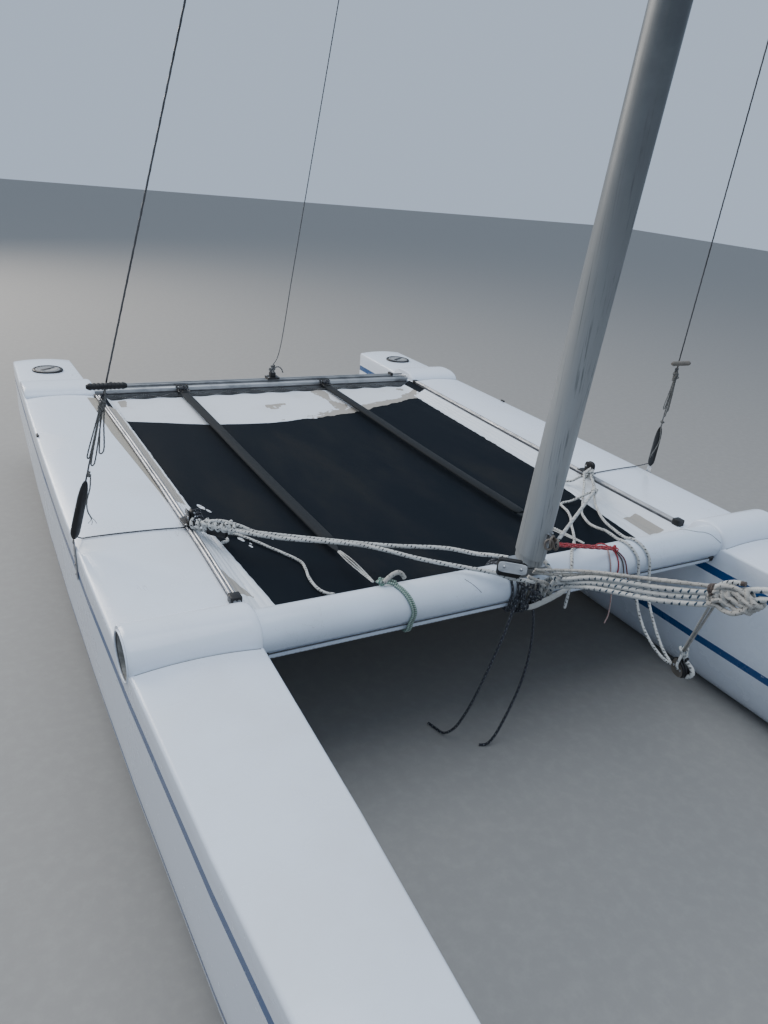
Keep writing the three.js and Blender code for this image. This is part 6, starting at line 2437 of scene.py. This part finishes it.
    def mast_hardware(self) -> None:
        """The screws and bolts of the mast and the car, and the shackles at the mast's padeye."""
        front = -(self.mast.half_depth + 0.0053)
        ahead = self.mast.at(0, -1, 0) - self.mast.at(0, 0, 0)
        bolts = [(self.mast.at(0.0, front, 6.130 + z), ahead) for z in (0.045, 0.085, 0.125)]
        self.yard.fasteners("hounds_bolts", bolts, 0.0045, Body.MAST)
        eyes = [(self.mast.at(0.002 + dx, -0.0602, 0.110 + dz), ahead) for dx in (-0.008, 0.008)
                for dz in (-0.011, 0.011)]
        self.yard.fasteners("padeye_screws", eyes, 0.0024, Body.MAST)
        bolts = [(point, UP) for point in four(0.050, REAR_BEAM_Y, 0.0316, 0.026, 0.019)]
        self.yard.fasteners("car_bolts", bolts, 0.0030, Body.CAR)
        shackles = []
        for place, turn in ((self.mast.at(-0.004, -0.079, 0.108), 0.4), (self.mast.at(0.006, -0.088, 0.100), 1.3),
                            (self.mast.at(-0.010, -0.076, 0.096), -0.7)):
            spin = Matrix.Rotation(turn, 3, "Z")
            shackles.append([place + spin @ Vector((0.0115 * math.sin(a), 0, 0.0165 * math.cos(a)))
                             for a in angles(36, 38)])
        self.yard.line("padeye_shackles", shackles, 0.0034, self.finishes.rusty, Slot.STAINLESS, 0.002, 10, Body.MAST)

    def fairleads(self) -> None:
        """The little black fairleads on the decks' outer edges."""
        for side, y in zip(SIDES, (1.676, 1.740)):
            self.yard.box(f"deck_fairlead_{side.name}", (0.010, 0.030, 0.010),
                          boat(side.sign * 1.203, y, 0.003), 0.003)

    def track(self) -> None:
        """The traveller's track: two lips over a dark slot, with black end stops."""
        finishes = self.finishes
        floor = 0.0103
        section = pairs("-17 0, 17 0, 17 9, 5.5 9, 5.5 6.6, 12.5 6.6, 12.5 3, -12.5 3, -12.5 6.6, -5.5 6.6, -5.5 9, "
                        "-17 9")
        rings = [[boat(x, REAR_BEAM_Y + y, floor + z) for y, z in section] for x in (-0.7998, -0.4, 0.0, 0.4, 0.7998)]
        self.yard.loft("traveller_rail", rings, finishes.aluminium, Slot.ALUMINIUM, 25.0,
                       replaces=("traveller_track",))
        # Painted shade: a black rod along the slot's floor stands for the shade inside the slot.
        slot = [boat(x, REAR_BEAM_Y, floor + 0.0042) for x in (-0.799, 0.799)]
        self.yard.line("traveller_slot_shade", [slot], 0.0010, finishes.black, Slot.BLACK_PLASTIC, 0.2)
        for side in SIDES:
            self.yard.box(f"traveller_stop_{side.name}", (0.016, 0.040, 0.016),
                          boat(side.sign * 0.792, REAR_BEAM_Y, floor + 0.0110), 0.003)

    def build(self) -> None:
        """Builds the fittings."""
        self.dress()
        self.ports()
        self.leads()
        self.small_hardware()
        self.mast_hardware()
        self.fairleads()
        self.track()


# Studio


@dataclass(frozen=True)
class Viewpoint:
    """The camera at the photograph's place, angles and field of view."""

    place: Triple = (-1.4901, -1.7281, 1.7362)
    yaw: float = -0.5456
    pitch: float = -0.4217
    roll: float = -0.1085
    pixels: tuple[int, int] = (768, 1024)
    focal_pixels: float = 769.24
    sensor: float = 36.0

    def build(self) -> None:
        """Makes the scene's camera."""
        turn = (Matrix.Rotation(self.yaw, 3, "Z") @ Matrix.Rotation(self.pitch, 3, "X")
                @ Matrix.Rotation(self.roll, 3, "Y"))
        right, forward, up = turn.col
        pose = Matrix((right, up, -forward)).transposed().to_4x4()
        pose.translation = Vector(self.place)
        data = bpy.data.cameras.new("viewpoint")
        data.sensor_fit = "AUTO"
        data.sensor_width = self.sensor
        data.lens = self.sensor * self.focal_pixels / max(self.pixels)
        data.clip_end = 200.0
        camera = bpy.data.objects.new("viewpoint", data)
        bpy.context.scene.collection.objects.link(camera)
        camera.matrix_world = pose
        bpy.context.scene.camera = camera


@dataclass
class Studio(Part):
    """A pale floor, soft sky light and broad lamps."""

    floor_half: float = 30.0
    sky: Colour = (0.58, 0.70, 0.88, 1.0)
    sky_strength: float = 0.80

    def lamp(self, name: str, place: Triple, aim: Triple, size: float, power: float, colour: Triple) -> None:
        """Hangs one broad lamp.

        Args:
            name: the lamp's name.
            place: where it hangs.
            aim: the point that it faces.
            size: its side.
            power: its power in watts.
            colour: its tint.
        """
        data = bpy.data.lights.new(name, "AREA")
        data.shape = "DISK"
        data.size = size
        data.energy = power
        data.color = colour
        lamp = bpy.data.objects.new(name, data)
        bpy.context.scene.collection.objects.link(lamp)
        lamp.location = place
        lamp.rotation_mode = "QUATERNION"
        lamp.rotation_quaternion = (Vector(aim) - Vector(place)).to_track_quat("-Z", "Y")

    def build(self) -> None:
        """Builds the floor and the light."""
        shape = Shape()
        half = self.floor_half
        shape.points = [Vector((-half, -half, 0)), Vector((half, -half, 0)), Vector((half, half, 0)),
                        Vector((-half, half, 0))]
        shape.faces = [(0, 1, 2, 3)]
        floor = shape.object("floor")
        floor.data.materials.append(self.finishes.floor)
        world = bpy.data.worlds.new("sky")
        world.use_nodes = True
        background = world.node_tree.nodes["Background"]
        background.inputs["Color"].default_value = self.sky
        background.inputs["Strength"].default_value = self.sky_strength
        bpy.context.scene.world = world
        self.lamp("rear_glow", (-4.0, 9.0, 5.0), (0.0, 0.5, 0.6), 6.0, 700.0, (1.0, 0.93, 0.84))
        self.lamp("overhead", (-1.0, 0.0, 9.0), (0.0, 0.5, 0.5), 8.0, 420.0, (0.90, 0.95, 1.0))


def main() -> None:
    """Builds the boat, piece by piece."""
    logging.basicConfig(level=logging.INFO, format="%(name)s: %(message)s")
    Viewpoint().build()
    yard = Yard()
    cloth = Trampoline(yard)
    LooseRopes(yard, cloth).build()
    mouth = Mouth()
    Hulls(yard, mouth).build()
    Fairing(yard, "front", 0.054, 0.088, 0.070, mouth=mouth).build()
    Fairing(yard, "rear", 2.312, 0.118, 0.038).build()
    Beams(yard).build()
    cloth.build()
    mast = Mast(yard)
    mast.build()
    stays = Stays(yard, mast)
    stays.build()
    Rigging(yard, mast, stays, cloth).build()
    Fittings(yard, mast, stays).build()
    Studio(yard).build()


if __name__ == "__main__":
    main()
